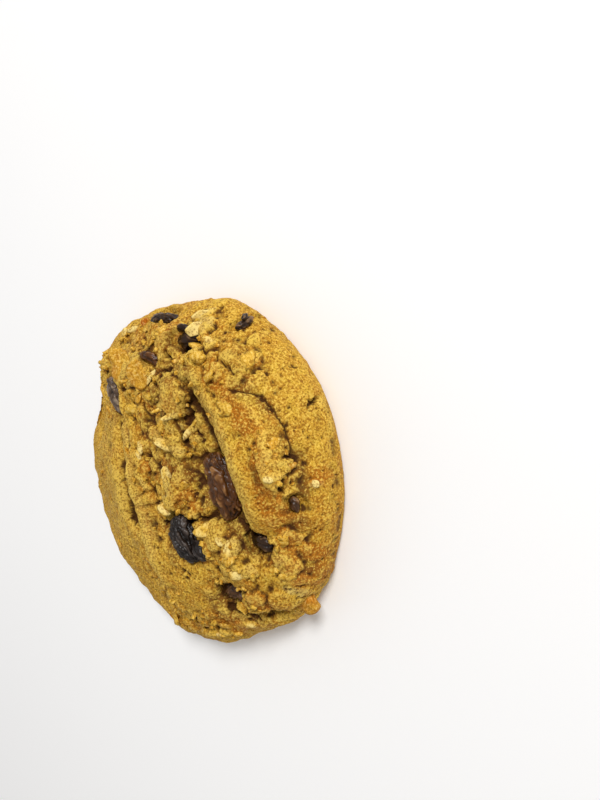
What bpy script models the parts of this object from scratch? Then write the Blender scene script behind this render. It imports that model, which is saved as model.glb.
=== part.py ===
"""Oatmeal raisin cookie: one thick, domed drop cookie with its raisins.

The dough is a round of rings laid evenly along the crown's curve, raised and sunk by the
cookie's own forms: the folded ridge, the crack beside it, the crumbly valley, the terraces
of the far side and the lumps of oats. Each raisin is a wrinkled, flattened berry that sits
in a pocket of its own shape, cut a little larger than the raisin.

Lengths are in millimetres and angles in degrees until a mesh is made. The base lies on
z = 0, +Z points up through the crown and -Y is the side with the ridge.
"""

import math

import bmesh
import bpy
import numpy as np
from mathutils import Euler, Vector, noise

MM = 0.001

# Driving dimensions of the dough.
RADIUS = 40.0
HEIGHT = 18.0
RINGS = 25
SIDES = 6

# The rounded foot: share of the outline's radius and of the edge's height, down to the base.
UNDERSIDE = [(0.995, 0.62), (0.975, 0.28), (0.935, 0.0)]

# Where the round spreads or draws in: direction, by how much, over what half-angle.
OUTLINE_BULGES = [
    (300, 2.3, 24),
    (355, -2.9, 20),
    (198, -2.2, 24),
    (105, 1.3, 28),
    (44, -1.2, 16),
    (70, 0.5, 14),
    (160, 0.8, 7),
]

# The crown's section: how boxy it is, how round its shoulder is, and its edge's height.
NEAR_SECTION = {"fullness": 3.4, "shoulder": 2.0, "edge": 5.0}
FAR_SECTION = {"fullness": 1.5, "shoulder": 1.0, "edge": 1.8}

# Raised lumps and sunk hollows: centre, half-length, half-width, heading, height.
MOUNDS = [
    {"at": (0.5, -34.3), "size": (6.8, 2.5), "turn": -6, "rise": 1.9},
    {"at": (15.5, -15.0), "size": (5.0, 4.4), "turn": 20, "rise": 1.9},
    {"at": (23.0, -4.0), "size": (6.0, 5.0), "turn": 60, "rise": 1.4},
    {"at": (28.3, -14.0), "size": (3.2, 3.0), "turn": 0, "rise": 1.6},
    {"at": (22.0, -21.5), "size": (5.0, 3.4), "turn": -40, "rise": 1.6},
    {"at": (-0.5, -10.5), "size": (5.4, 3.0), "turn": -35, "rise": 2.0},
    {"at": (6.5, -13.0), "size": (3.4, 2.4), "turn": 40, "rise": 1.3},
    {"at": (-13.5, -19.0), "size": (4.2, 3.2), "turn": 20, "rise": 1.5},
    {"at": (-19.0, -22.0), "size": (4.0, 3.4), "turn": 70, "rise": 1.3},
    {"at": (-26.0, -23.5), "size": (4.6, 2.8), "turn": 62, "rise": 1.3},
    {"at": (-21.0, -3.0), "size": (9.0, 6.5), "turn": 10, "rise": 0.9},
    {"at": (3.5, -18.0), "size": (12.0, 5.0), "turn": 0, "rise": -2.3},
    {"at": (11.0, -5.0), "size": (8.0, 5.0), "turn": 20, "rise": -0.9},
    {"at": (25.8, -19.2), "size": (2.6, 1.9), "turn": -50, "rise": -2.2},
    {"at": (12.6, -19.0), "size": (1.9, 1.6), "turn": 0, "rise": -2.0},
    {"at": (-24.6, -15.2), "size": (4.8, 4.2), "turn": 30, "rise": -2.4},
    {"at": (-13.6, -26.8), "size": (2.4, 1.8), "turn": 0, "rise": -1.4},
    {"at": (-29.0, -20.5), "size": (2.0, 1.6), "turn": 60, "rise": -1.3},
    {"at": (-14.0, 23.0), "size": (7.0, 5.0), "turn": 150, "rise": 0.7},
    {"at": (3.0, 24.0), "size": (7.0, 4.5), "turn": 10, "rise": 0.8},
    {"at": (18.5, 27.5), "size": (6.0, 7.0), "turn": 40, "rise": -1.6},
    {"at": (28.0, 14.0), "size": (5.0, 4.0), "turn": 60, "rise": 1.1},
    {"at": (-30.0, 10.0), "size": (5.0, 4.0), "turn": 110, "rise": 0.9},
]

# Long forms: the points they pass, half-width at the middle, height. Each tapers to its ends.
RIDGE = {
    "path": [(22, -20), (18, -26), (12, -29.4), (4, -31), (-5, -31), (-12.5, -28)],
    "width": 4.8,
    "rise": 2.8,
}
CRACK = {
    "path": [(16.5, -30.5), (13.6, -32.6), (8, -35), (2, -36.5), (-4.5, -36.3), (-8, -33.6)],
    "width": 1.1,
    "rise": -2.6,
}
UNDERCUT = {
    "path": [(18, -21.5), (10, -23.6), (3, -24.6), (-4, -25.2), (-12.5, -26)],
    "width": 1.5,
    "rise": -1.5,
}

# Terraces of the far side: the line they follow, the drop beyond it, the width that the drop
# takes and how far out the crown is back at its own height.
TERRACES = [
    {"path": [(-33, 0), (-24, 2), (-12, 3.2), (0, 3.4), (10, 2.4), (19, 4.6), (31, 9)],
     "drop": 1.8, "over": 2.0, "reach": 13.0},
    {"path": [(-30, 14), (-18, 15.2), (-6, 14.6), (5, 12.6), (15, 14.6), (26, 19)],
     "drop": 1.0, "over": 2.2, "reach": 9.0},
]

# Slow unevenness of the whole crown.
SWELL = {"height": 0.75, "spacing": 11.0}

# Raisins: centre, depth of the centre below the crust, length, width, thickness, heading,
# tip (nose up) and roll about the length, number of wrinkles.
RAISINS = {
    "raisin_large": {"at": (-11.4, -10.6), "sink": 0.3, "size": (11.5, 8.0, 6.0),
                     "turn": 160, "tip": 4, "roll": -8, "wrinkles": 9, "segments": 16},
    "raisin_by_ridge": {"at": (-1.8, -22.4), "sink": 0.4, "size": (14.0, 7.6, 5.6),
                        "turn": 4, "tip": -3, "roll": 20, "wrinkles": 7, "segments": 16},
    "raisin_in_hole": {"at": (-24.6, -15.4), "sink": 0.4, "size": (8.4, 7.0, 5.6),
                       "turn": 35, "tip": 0, "roll": 24, "wrinkles": 8, "segments": 16},
    "raisin_at_rim": {"at": (33.4, -8.4), "sink": 0.9, "size": (10.4, 4.4, 4.0),
                      "turn": 99, "tip": 0, "roll": -48, "wrinkles": 6, "segments": 14},
    "raisin_in_hollow": {"at": (26.0, -19.4), "sink": -0.6, "size": (8.2, 4.4, 4.0),
                         "turn": 62, "tip": -6, "roll": -24, "wrinkles": 6, "segments": 14},
    "raisin_sliver": {"at": (27.2, -30.2), "sink": 0.5, "size": (6.2, 2.8, 2.8),
                      "turn": -20, "tip": 58, "roll": 10, "wrinkles": 5, "segments": 12},
    "raisin_far_side": {"at": (21.0, 8.6), "sink": 0.2, "size": (9.6, 5.2, 4.4),
                        "turn": 4, "tip": -10, "roll": 20, "wrinkles": 7, "segments": 14},
    "raisin_flat": {"at": (24.6, -8.6), "sink": 0.9, "size": (6.4, 3.8, 3.0),
                    "turn": 58, "tip": -12, "roll": -10, "wrinkles": 5, "segments": 12},
    "raisin_in_crack": {"at": (-7.4, -34.4), "sink": 0.6, "size": (4.8, 3.2, 3.2),
                        "turn": 20, "tip": 0, "roll": 40, "wrinkles": 5, "segments": 12},
    "raisin_under_lobe": {"at": (-13.2, -26.6), "sink": 0.3, "size": (5.6, 4.0, 3.6),
                          "turn": 70, "tip": 0, "roll": 34, "wrinkles": 6, "segments": 12},
}
POCKET_GAP = 0.32
WRINKLE_DEPTH = 0.13


def clear_scene():
    for item in list(bpy.data.objects):
        bpy.data.objects.remove(item, do_unlink=True)


def surface_material(name, colour, roughness):
    material = bpy.data.materials.new(name)
    material.use_nodes = True
    material.diffuse_color = (*colour, 1.0)
    shader = material.node_tree.nodes["Principled BSDF"]
    shader.inputs["Base Color"].default_value = (*colour, 1.0)
    shader.inputs["Roughness"].default_value = roughness
    shader.inputs["Metallic"].default_value = 0.0
    return material


def ease(value):
    """A smooth step from 0 to 1."""
    value = np.clip(value, 0.0, 1.0)
    return value * value * (3.0 - 2.0 * value)


def outline_radius(angle):
    """The cookie's radius in this direction."""
    radius = np.full_like(angle, RADIUS)
    for direction, swell, spread in OUTLINE_BULGES:
        away = np.angle(np.exp(1j * (angle - math.radians(direction))))
        radius += swell * np.exp(-((away / math.radians(spread)) ** 2))
    return radius


def section(angle, part_way):
    """Fullness, shoulder and edge height in this direction. At the centre all sides agree."""
    far = (0.5 * (1.0 + np.sin(angle))) ** 1.2
    outward = ease(part_way / 0.5)
    values = []
    for key in ("fullness", "shoulder", "edge"):
        side = NEAR_SECTION[key] * (1.0 - far) + FAR_SECTION[key] * far
        middle = 0.5 * (NEAR_SECTION[key] + FAR_SECTION[key])
        values.append(middle + (side - middle) * outward)
    return values


def crown_height(angle, part_way):
    """Height of the plain crown, part_way from the centre (0) to the outline (1)."""
    fullness, shoulder, edge = section(angle, part_way)
    curve = np.clip(1.0 - part_way**fullness, 0.0, 1.0) ** (1.0 / shoulder)
    return edge + (HEIGHT - edge) * curve


def crown_point(x, y):
    """The plain crown's point over (x, y), which lies inside the outline."""
    angle = np.arctan2(y, x)
    part_way = np.clip(np.hypot(x, y) / outline_radius(angle), 0.0, 1.0)
    return np.array([x, y, float(crown_height(np.array([angle]), np.array([part_way]))[0])])


def path_distance(x, y, path):
    """Distance to a line through points, how far along it (0 to 1) and on which side."""
    corners = np.array(path, float)
    lengths = np.hypot(*(corners[1:] - corners[:-1]).T)
    starts = np.concatenate([[0.0], np.cumsum(lengths)])
    nearest = np.full_like(x, 1e9)
    along = np.zeros_like(x)
    side = np.zeros_like(x)
    for number, length in enumerate(lengths):
        start, end = corners[number], corners[number + 1]
        step = (end - start) / length
        out = np.stack([x - start[0], y - start[1]], axis=-1)
        reach = np.clip(out @ step, 0.0, length)
        away = np.hypot(out[..., 0] - reach * step[0], out[..., 1] - reach * step[1])
        closer = away < nearest
        nearest = np.where(closer, away, nearest)
        along = np.where(closer, (starts[number] + reach) / starts[-1], along)
        turned = step[0] * out[..., 1] - step[1] * out[..., 0]
        side = np.where(closer, np.sign(turned), side)
    return nearest, along, side


def mound(x, y, form):
    turn = math.radians(form["turn"])
    out_x, out_y = x - form["at"][0], y - form["at"][1]
    length, width = form["size"]
    along = (out_x * math.cos(turn) + out_y * math.sin(turn)) / length
    across = (out_y * math.cos(turn) - out_x * math.sin(turn)) / width
    return form["rise"] * np.exp(-((along**2 + across**2) ** 1.5))


def long_form(x, y, form):
    away, along, _ = path_distance(x, y, form["path"])
    taper = np.clip(np.sin(math.pi * (0.06 + 0.88 * along)), 0.0, 1.0) ** 0.5
    width = form["width"] * (0.45 + 0.55 * taper)
    return form["rise"] * taper * np.exp(-((away / width) ** 2.6))


def terrace(x, y, form):
    """The drop beyond a line. It fades further out and past the line's two ends."""
    away, along, side = path_distance(x, y, form["path"])
    fade = ease(along / 0.12) * ease((1.0 - along) / 0.12) * np.exp(-((away / form["reach"]) ** 2))
    return -form["drop"] * ease(0.5 + side * away / form["over"]) * fade


def form_height(x, y):
    """How far the finished crust stands out from the plain crown."""
    height = np.zeros_like(x)
    for form in MOUNDS:
        height += mound(x, y, form)
    for form in (RIDGE, CRACK, UNDERCUT):
        height += long_form(x, y, form)
    for form in TERRACES:
        height += terrace(x, y, form)
    spacing = SWELL["spacing"]
    swells = [noise.noise(Vector((a / spacing, b / spacing, 0.0))) for a, b in zip(x, y)]
    return height + SWELL["height"] * np.array(swells)


def ring_shares():
    """Ring positions, spaced evenly along the crown's curve."""
    fine = np.linspace(0.0, 1.0, 600) ** 0.6
    drop = crown_height(np.zeros_like(fine), fine)
    run = np.hypot(np.diff(fine) * RADIUS, np.diff(drop))
    length = np.concatenate([[0.0], np.cumsum(run)])
    return np.interp(np.linspace(0.0, length[-1], RINGS + 1), length, fine)


def add_ring(mesh, angles, share, heights):
    """A ring of points, each this share of the way out to the outline."""
    radii = outline_radius(angles) * share
    spots = zip(radii * np.cos(angles), radii * np.sin(angles), heights)
    return [mesh.verts.new(spot) for spot in spots]


def crown_ring(mesh, level, share):
    angles = np.linspace(0.0, 2.0 * math.pi, SIDES * level, endpoint=False)
    return add_ring(mesh, angles, share, crown_height(angles, np.full_like(angles, share)))


def under_ring(mesh, share, drop):
    """A ring below the crown's edge, at this share of the edge's height."""
    angles = np.linspace(0.0, 2.0 * math.pi, SIDES * RINGS, endpoint=False)
    _, _, edge = section(angles, np.ones_like(angles))
    return add_ring(mesh, angles, share, edge * drop)


def join_growing(mesh, inner, outer):
    """Faces between a ring of SIDES times n points and the next, of SIDES times n + 1."""
    short, long = len(inner) // SIDES, len(outer) // SIDES
    for side in range(SIDES):
        for step in range(long):
            near = inner[(side * short + step) % len(inner)]
            first = outer[side * long + step]
            second = outer[(side * long + step + 1) % len(outer)]
            mesh.faces.new((near, first, second))
            if step < short:
                after = inner[(side * short + step + 1) % len(inner)]
                mesh.faces.new((near, second, after))


def join_equal(mesh, upper, lower):
    count = len(upper)
    for number in range(count):
        after = (number + 1) % count
        mesh.faces.new((upper[number], lower[number], lower[after], upper[after]))


def dough_mesh():
    """The plain crown, its rounded underside and its flat base, then its forms."""
    mesh = bmesh.new()
    shares = ring_shares()
    centre = mesh.verts.new((0.0, 0.0, HEIGHT))
    ring = crown_ring(mesh, 1, shares[1])
    for number, point in enumerate(ring):
        mesh.faces.new((centre, point, ring[(number + 1) % SIDES]))
    for level in range(2, RINGS + 1):
        wider = crown_ring(mesh, level, shares[level])
        join_growing(mesh, ring, wider)
        ring = wider
    for share, drop in UNDERSIDE:
        lower = under_ring(mesh, share, drop)
        join_equal(mesh, ring, lower)
        ring = lower
    mesh.faces.new(list(reversed(ring)))
    mesh.normal_update()
    raise_forms(mesh, len(ring))
    return mesh


def raise_forms(mesh, ring_size):
    """Moves the crown's points out along their normals. The lowest two rings stay put."""
    mesh.verts.ensure_lookup_table()
    moving = mesh.verts[: len(mesh.verts) - 2 * ring_size]
    spots = np.array([point.co for point in moving])
    heights = form_height(spots[:, 0], spots[:, 1])
    normals = [point.normal.copy() for point in moving]
    for point, normal, height in zip(moving, normals, heights):
        point.co += normal * float(height)


def finished_object(name, mesh, material):
    """Scales a millimetre mesh to metres and puts it in the scene, shaded smooth."""
    bmesh.ops.scale(mesh, vec=(MM, MM, MM), verts=mesh.verts)
    bmesh.ops.triangulate(mesh, faces=mesh.faces)
    data = bpy.data.meshes.new(name)
    mesh.to_mesh(data)
    mesh.free()
    data.materials.append(material)
    data.shade_smooth()
    item = bpy.data.objects.new(name, data)
    bpy.context.scene.collection.objects.link(item)
    return item


def raisin_mesh(raisin, grown=0.0):
    """A flattened berry with wrinkles from end to end, grown outwards for its pocket."""
    length, width, thickness = raisin["size"]
    mesh = bmesh.new()
    bmesh.ops.create_uvsphere(
        mesh, u_segments=raisin["segments"], v_segments=raisin["segments"] * 2 // 3, radius=1.0
    )
    for point in mesh.verts:
        across, up, along = point.co
        around = math.atan2(up, across)
        waist = 1.0 - along * along
        folds = abs(math.sin(0.5 * raisin["wrinkles"] * around + 1.3 * along + length))
        reach = 1.0 - WRINKLE_DEPTH * (1.0 - folds) * waist
        bend = 0.18 * along * along
        point.co = (
            0.5 * length * along,
            0.5 * width * (across * reach + bend),
            0.5 * thickness * (up * reach - 0.5 * bend),
        )
    mesh.normal_update()
    for point, normal in [(point, point.normal.copy()) for point in mesh.verts]:
        point.co += normal * grown
    return mesh


def crust_point(x, y):
    """Where the finished crust is over (x, y), and which way it faces."""
    step = 0.5
    here, east, north = (crown_point(a, b) for a, b in ((x, y), (x + step, y), (x, y + step)))
    facing = np.cross(east - here, north - here)
    facing /= np.linalg.norm(facing)
    height = float(form_height(np.array([float(x)]), np.array([float(y)]))[0])
    return here + facing * height, facing


def place_raisin(item, raisin):
    """Seats the raisin in the crust with its length turned to its own heading."""
    spot, facing = crust_point(*raisin["at"])
    centre = spot - facing * raisin["sink"]
    item.location = Vector(centre) * MM
    item.rotation_euler = Euler(
        [math.radians(raisin[key]) for key in ("roll", "tip", "turn")], "XYZ"
    )


def build_cookie():
    crust = surface_material("baked oat dough", (0.52, 0.27, 0.055), 0.75)
    skin = surface_material("raisin skin", (0.022, 0.012, 0.012), 0.38)
    cookie = finished_object("cookie", dough_mesh(), crust)
    for name, raisin in RAISINS.items():
        berry = finished_object(name, raisin_mesh(raisin), skin)
        place_raisin(berry, raisin)
        pocket = finished_object(name + "_pocket", raisin_mesh(raisin, POCKET_GAP), crust)
        place_raisin(pocket, raisin)
        pocket.hide_render = True
        pocket.display_type = "WIRE"
        cut = cookie.modifiers.new(name + " pocket", "BOOLEAN")
        cut.operation = "DIFFERENCE"
        cut.solver = "EXACT"
        cut.object = pocket


clear_scene()
build_cookie()
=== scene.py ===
import math
import bpy
import numpy as np
from mathutils import Euler, Matrix, Vector, noise
from mathutils.bvhtree import BVHTree


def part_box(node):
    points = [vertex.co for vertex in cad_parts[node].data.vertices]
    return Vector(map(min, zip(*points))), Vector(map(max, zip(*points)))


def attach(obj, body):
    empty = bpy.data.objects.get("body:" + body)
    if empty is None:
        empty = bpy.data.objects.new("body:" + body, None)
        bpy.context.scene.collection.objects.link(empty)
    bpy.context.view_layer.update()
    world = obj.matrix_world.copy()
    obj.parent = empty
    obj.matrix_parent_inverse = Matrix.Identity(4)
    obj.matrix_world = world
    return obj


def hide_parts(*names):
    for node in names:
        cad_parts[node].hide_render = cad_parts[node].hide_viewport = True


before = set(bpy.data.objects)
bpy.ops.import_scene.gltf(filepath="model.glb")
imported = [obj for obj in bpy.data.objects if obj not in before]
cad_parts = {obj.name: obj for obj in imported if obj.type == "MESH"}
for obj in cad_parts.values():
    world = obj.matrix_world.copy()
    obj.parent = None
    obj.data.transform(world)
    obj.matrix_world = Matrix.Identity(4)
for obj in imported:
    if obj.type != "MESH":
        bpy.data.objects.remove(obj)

scene = bpy.context.scene
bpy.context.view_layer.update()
mm = 0.001
tau = 2.0 * math.pi


# small helpers shared by the pieces

def ease(value):
    value = np.clip(value, 0.0, 1.0)
    return value * value * (3.0 - 2.0 * value)


def fromHex(text):
    # sRGB hex to the linear colour that the shaders want
    channels = [int(text[i:i + 2], 16) / 255.0 for i in (1, 3, 5)]
    return tuple(c / 12.92 if c <= 0.04045 else ((c + 0.055) / 1.055) ** 2.4 for c in channels) + (1.0,)


def addNode(tree, kind, settings=None, values=None, links=None):
    # one node, its properties, its unlinked values and what comes into it
    node = tree.nodes.new(kind)
    for name, value in (settings or {}).items():
        setattr(node, name, value)
    for name, value in (values or {}).items():
        node.inputs[name].default_value = value
    for name, source in (links or {}).items():
        tree.links.new(source, node.inputs[name])
    return node


def newMaterial(name):
    material = bpy.data.materials.new(name)
    material.use_nodes = True
    tree = material.node_tree
    tree.nodes.clear()
    return material, tree


def finishMaterial(tree, shader):
    output = addNode(tree, "ShaderNodeOutputMaterial")
    tree.links.new(shader.outputs[0], output.inputs["Surface"])


def meshObject(name, points, faces, material):
    # points in millimetres, the object at the origin
    data = bpy.data.meshes.new(name)
    data.from_pydata((np.asarray(points) * mm).tolist(), [], faces)
    data.update()
    data.materials.append(material)
    data.shade_smooth()
    piece = bpy.data.objects.new(name, data)
    scene.collection.objects.link(piece)
    return piece


def pointNormals(points, faces):
    corners = points[faces]
    facing = np.cross(corners[:, 1] - corners[:, 0], corners[:, 2] - corners[:, 0])
    total = np.zeros_like(points)
    for corner in range(3):
        for axis in range(3):
            total[:, axis] += np.bincount(faces[:, corner], facing[:, axis], len(points))
    return total / np.maximum(np.linalg.norm(total, axis=1, keepdims=True), 1e-12)


def noiseAt(points, spacing, shift=0.0):
    # soft noise from -1 to 1 whose lumps are about spacing millimetres apart
    place = points / spacing + shift
    return np.array([noise.noise(Vector(p)) for p in place])


def ballAngles(rings, sides):
    polar = (np.arange(1, rings) * math.pi / rings)[:, None]
    return polar, (np.arange(sides) * tau / sides)[None, :]


def ballFaces(rings, sides):
    # triangles over a ball whose points are its two poles and the rings between them
    last = (rings - 1) * sides + 1
    grid = np.arange(1, last).reshape(rings - 1, sides)
    faces = []
    for k in range(sides):
        after = (k + 1) % sides
        faces += [(0, grid[0, k], grid[0, after]), (last, grid[-1, after], grid[-1, k])]
        for ring in range(rings - 2):
            faces += [(grid[ring, k], grid[ring + 1, k], grid[ring + 1, after]),
                      (grid[ring, k], grid[ring + 1, after], grid[ring, after])]
    return np.array(faces)


def setMark(piece, name, values):
    data = piece.data.attributes.new(name, "FLOAT", "POINT")
    data.data.foreach_set("value", np.asarray(values, np.float32))


def joinedObject(name, parts, markName, material):
    # one object from parts that each give points, faces and a mark for every point
    allPoints, allFaces, allMarks = zip(*parts)
    starts = np.cumsum([0] + [len(points) for points in allPoints])
    faces = np.concatenate([part + start for part, start in zip(allFaces, starts)])
    piece = meshObject(name, np.concatenate(allPoints), faces.tolist(), material)
    setMark(piece, markName, np.concatenate(allMarks))
    return piece


# the dough: its plain crown

doughShape = {
    "radius": 40.0,
    "height": 18.0,
    "bulges": [(300, 2.3, 24), (355, -2.9, 20), (198, -2.2, 24), (105, 1.3, 28),
               (44, -1.2, 16), (70, 0.5, 14), (160, 0.8, 7), (58, -1.0, 12), (300, -1.2, 13),
               (322, 0.4, 10)],
    "near": {"fullness": 3.4, "shoulder": 2.0, "edge": 5.0},
    "far": {"fullness": 1.5, "shoulder": 1.0, "edge": 1.8},
    "rings": 146,
    "baseRings": 60,
    "foot": 0.935,
    "footRings": 8,
}


def outlineRadius(angle):
    radius = np.full_like(angle, doughShape["radius"])
    for direction, swell, spread in doughShape["bulges"]:
        away = np.angle(np.exp(1j * (angle - math.radians(direction))))
        radius += swell * np.exp(-((away / math.radians(spread)) ** 2))
    return radius


def crownSection(angle, share):
    near, far = doughShape["near"], doughShape["far"]
    farness = (0.5 * (1.0 + np.sin(angle))) ** 1.2
    outward = ease(share / 0.5)
    values = []
    for key in ("fullness", "shoulder", "edge"):
        side = near[key] * (1.0 - farness) + far[key] * farness
        middle = 0.5 * (near[key] + far[key])
        values.append(middle + (side - middle) * outward)
    return values


def crownHeight(angle, share):
    fullness, shoulder, edge = crownSection(angle, share)
    curve = np.clip(1.0 - share ** fullness, 0.0, 1.0) ** (1.0 / shoulder)
    return edge + (doughShape["height"] - edge) * curve


def joinRings(inner, outer, faces):
    # triangles between two closed rings of point numbers, whatever their counts
    i = j = 0
    countIn, countOut = len(inner), len(outer)
    while i < countIn or j < countOut:
        if i * countOut > j * countIn or i >= countIn:
            faces.append((inner[i % countIn], outer[j % countOut], outer[(j + 1) % countOut]))
            j += 1
        else:
            faces.append((inner[i % countIn], outer[j % countOut], inner[(i + 1) % countIn]))
            i += 1


def doughMesh():
    # rings of 6, 12, 18 ... points over the crown, rings round the foot, then back in below
    shape = doughShape
    rings = shape["rings"]
    fine = np.linspace(0.0, 1.0, 800) ** 0.6
    drop = crownHeight(np.zeros_like(fine), fine)
    run = np.hypot(np.diff(fine) * shape["radius"], np.diff(drop))
    length = np.concatenate([[0.0], np.cumsum(run)])
    shares = np.interp(np.linspace(0.0, length[-1], rings + 1), length, fine)
    points, faces, kinds = [[0.0, 0.0, shape["height"]]], [], [0]
    ring = [0]

    def addRing(count, share, heightOf, kind):
        angles = np.arange(count) * tau / count
        radii = outlineRadius(angles) * share
        start = len(points)
        placed = np.stack([radii * np.cos(angles), radii * np.sin(angles), heightOf(angles)], 1)
        points.extend(placed.tolist())
        kinds.extend([kind] * count)
        return list(range(start, start + count))

    for level in range(1, rings + 1):
        share = shares[level]
        wider = addRing(6 * level, share, lambda a: crownHeight(a, np.full_like(a, share)), 0)
        if level == 1:
            faces.extend((0, wider[k], wider[(k + 1) % 6]) for k in range(6))
        else:
            joinRings(ring, wider, faces)
        ring = wider
    for level in range(1, shape["footRings"] + 1):
        turn = 0.5 * math.pi * level / shape["footRings"]
        share = shape["foot"] + (1.0 - shape["foot"]) * math.cos(turn)
        above = 1.0 - math.sin(turn)
        lower = addRing(6 * rings, share, lambda a: crownSection(a, np.ones_like(a))[2] * above, 1)
        joinRings(ring, lower, faces)
        ring = lower
    for level in range(shape["baseRings"], 0, -1):
        share = shape["foot"] * (level - 0.35) / shape["baseRings"]
        inward = addRing(6 * level, share, np.zeros_like, 2)
        joinRings(ring, inward, faces)
        ring = inward
    points.append([0.0, 0.0, 0.0])
    kinds.append(2)
    faces.extend((ring[k], len(points) - 1, ring[(k + 1) % 6]) for k in range(6))
    return np.array(points), np.array(faces), np.array(kinds)


# the dough: its large forms, in the plan's millimetres

doughMounds = [
    # centre x, y, half-length, half-width, turn, rise
    (0.5, -34.3, 6.8, 2.5, -6, 1.9), (15.5, -15, 5, 4.4, 20, 1.9), (23, -4, 6, 5, 60, 1.4),
    (28.3, -14, 3.2, 3, 0, 1.6), (22, -21.5, 5, 3.4, -40, 1.6), (-0.5, -10.5, 5.4, 3, -35, 2),
    (6.5, -13, 3.4, 2.4, 40, 1.3), (-13.5, -19, 4.2, 3.2, 20, 1.5), (-19, -22, 4, 3.4, 70, 1.3),
    (-26, -23.5, 4.6, 2.8, 62, 1.3), (-21, -3, 9, 6.5, 10, 0.9), (3.5, -18, 12, 5, 0, -2.3),
    (11, -5, 8, 5, 20, -0.9), (25.8, -19.2, 2.6, 1.9, -50, -2.2), (12, -17.6, 1.3, 1.1, 0, -1.3),
    (-25, -14.8, 3.6, 3.2, 30, -2.2), (-13.6, -26.8, 2.4, 1.8, 0, -1.4), (-29, -20.5, 2, 1.6, 60, -1.3),
    (-14, 23, 7, 5, 150, 0.7), (3, 24, 7, 4.5, 10, 0.8), (18.5, 27.5, 6, 7, 40, -1.6),
    (28, 14, 5, 4, 60, 1.1), (-24, 4, 4, 3, 110, 0.5),
]
doughLongForms = [
    # the ridge, the crack and the undercut beside it, then lips, grooves and ledges: path, half-width, rise
    ([(22, -20), (18, -26), (12, -29.4), (4, -31), (-5, -31), (-12.5, -28)], 4.8, 2.8),
    ([(16.5, -30.5), (13.6, -32.6), (8, -35), (2, -36.5), (-4.5, -36.3), (-8, -33.6)], 1.1, -0.52),
    ([(18, -19.6), (10, -21.6), (3, -23.2), (-4, -24.8), (-12.5, -26)], 1.4, -1.2),
    ([(13, 6), (6, 3.6), (2, 2.6), (-2, 2.2), (-6, 2.4), (-12, 1.2), (-20, 0.2)], 2, 1.4),
    ([(14, 9), (7.5, 8.2), (3, 8.6), (-2, 9.4), (-6, 9.8), (-8.5, 8.8), (-10.5, 7.2), (-15.6, 6.2),
      (-18, 4.8)], 1.4, -1.9),
    ([(14, 12.4), (5, 12), (-4, 12.8), (-10, 12), (-15, 10.6)], 2, 0.8),
    ([(7, -2.4), (3.4, -3.2), (-3, -2.8), (-6.2, -3.8), (-9.6, -4.6), (-12.5, -4.6)], 1.2, -1.3),
    ([(-19.4, 8.6), (-24, 8.2), (-27, 6.4)], 1, -1),
    ([(19, -21.8), (11.5, -24.6), (5, -26.6), (-1, -28.4), (-6, -28.8)], 2, 1.4),
    ([(-17, 17.5), (-25, 14.5), (-31, 8.5)], 4, -1.6),
    ([(21, 23), (16, 27), (11, 30)], 3, -0.9),
    ([(-15, 18.8), (-15.3, 14), (-18.4, 17.6)], 0.7, -0.5),
    ([(22, 3.4), (18, 3.2), (13.6, 5.6)], 1, 0.7),
    ([(24, -25), (20, -29.6), (14, -32)], 1.2, 0.7),
    ([(-16, -30.6), (-20.5, -29.4), (-24, -26.4)], 1.8, 0.9),
    ([(-27.5, -12.6), (-28.6, -18.4), (-29.4, -21.4), (-28.5, -25.6), (-26.6, -28.6)], 0.8, -1.3),
    ([(-30.8, -13), (-31.6, -18.7), (-31.7, -21.2), (-30.4, -25)], 0.9, 0.8),
    ([(-33.8, 2), (-34.4, -4), (-34, -9)], 0.9, 0.6),
]
doughTerraces = [
    # path, drop, width of the drop, how far out the drop fades
    ([(-33, 0), (-24, 2), (-12, 3.2), (0, 3.4), (10, 2.4), (19, 4.6), (31, 9)], 1.8, 2.0, 13.0),
    ([(-30, 14), (-18, 15.2), (-6, 14.6), (5, 12.6), (15, 14.6), (26, 19)], 1.0, 2.2, 9.0),
]
doughSwell = {"height": 0.75, "spacing": 11.0}
tallest = 19.3   # lumps above this are baked flatter
flattenedTo = 0.6   # the most that stays of what stands above it
baseDents = 0.18   # half the depth of the dents in the underside


def pathDistance(x, y, path):
    corners = np.array(path, float)
    lengths = np.hypot(*(corners[1:] - corners[:-1]).T)
    starts = np.concatenate([[0.0], np.cumsum(lengths)])
    nearest = np.full_like(x, 1e9)
    along = np.zeros_like(x)
    side = np.zeros_like(x)
    for number, length in enumerate(lengths):
        start, end = corners[number], corners[number + 1]
        step = (end - start) / length
        outX, outY = x - start[0], y - start[1]
        reach = np.clip(outX * step[0] + outY * step[1], 0.0, length)
        away = np.hypot(outX - reach * step[0], outY - reach * step[1])
        closer = away < nearest
        nearest = np.where(closer, away, nearest)
        along = np.where(closer, (starts[number] + reach) / starts[-1], along)
        side = np.where(closer, np.sign(step[0] * outY - step[1] * outX), side)
    return nearest, along, side


def alongAcross(x, y, centreX, centreY, turn):
    # distances from a centre, along and across a direction given in degrees
    cosine, sine = math.cos(math.radians(turn)), math.sin(math.radians(turn))
    outX, outY = x - centreX, y - centreY
    return outX * cosine + outY * sine, outY * cosine - outX * sine


def spot(x, y, form):
    # 1 at the middle of a turned oval, fading to 0 outside it
    centreX, centreY, length, width, turn = form[:5]
    along, across = alongAcross(x, y, centreX, centreY, turn)
    return np.exp(-(((along / length) ** 2 + (across / width) ** 2) ** 1.5))


def spotShare(x, y, forms):
    # how far a list of spots, each with its strength, covers every point
    return np.clip(sum(form[5] * spot(x, y, form) for form in forms), 0.0, 1.0)


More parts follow.
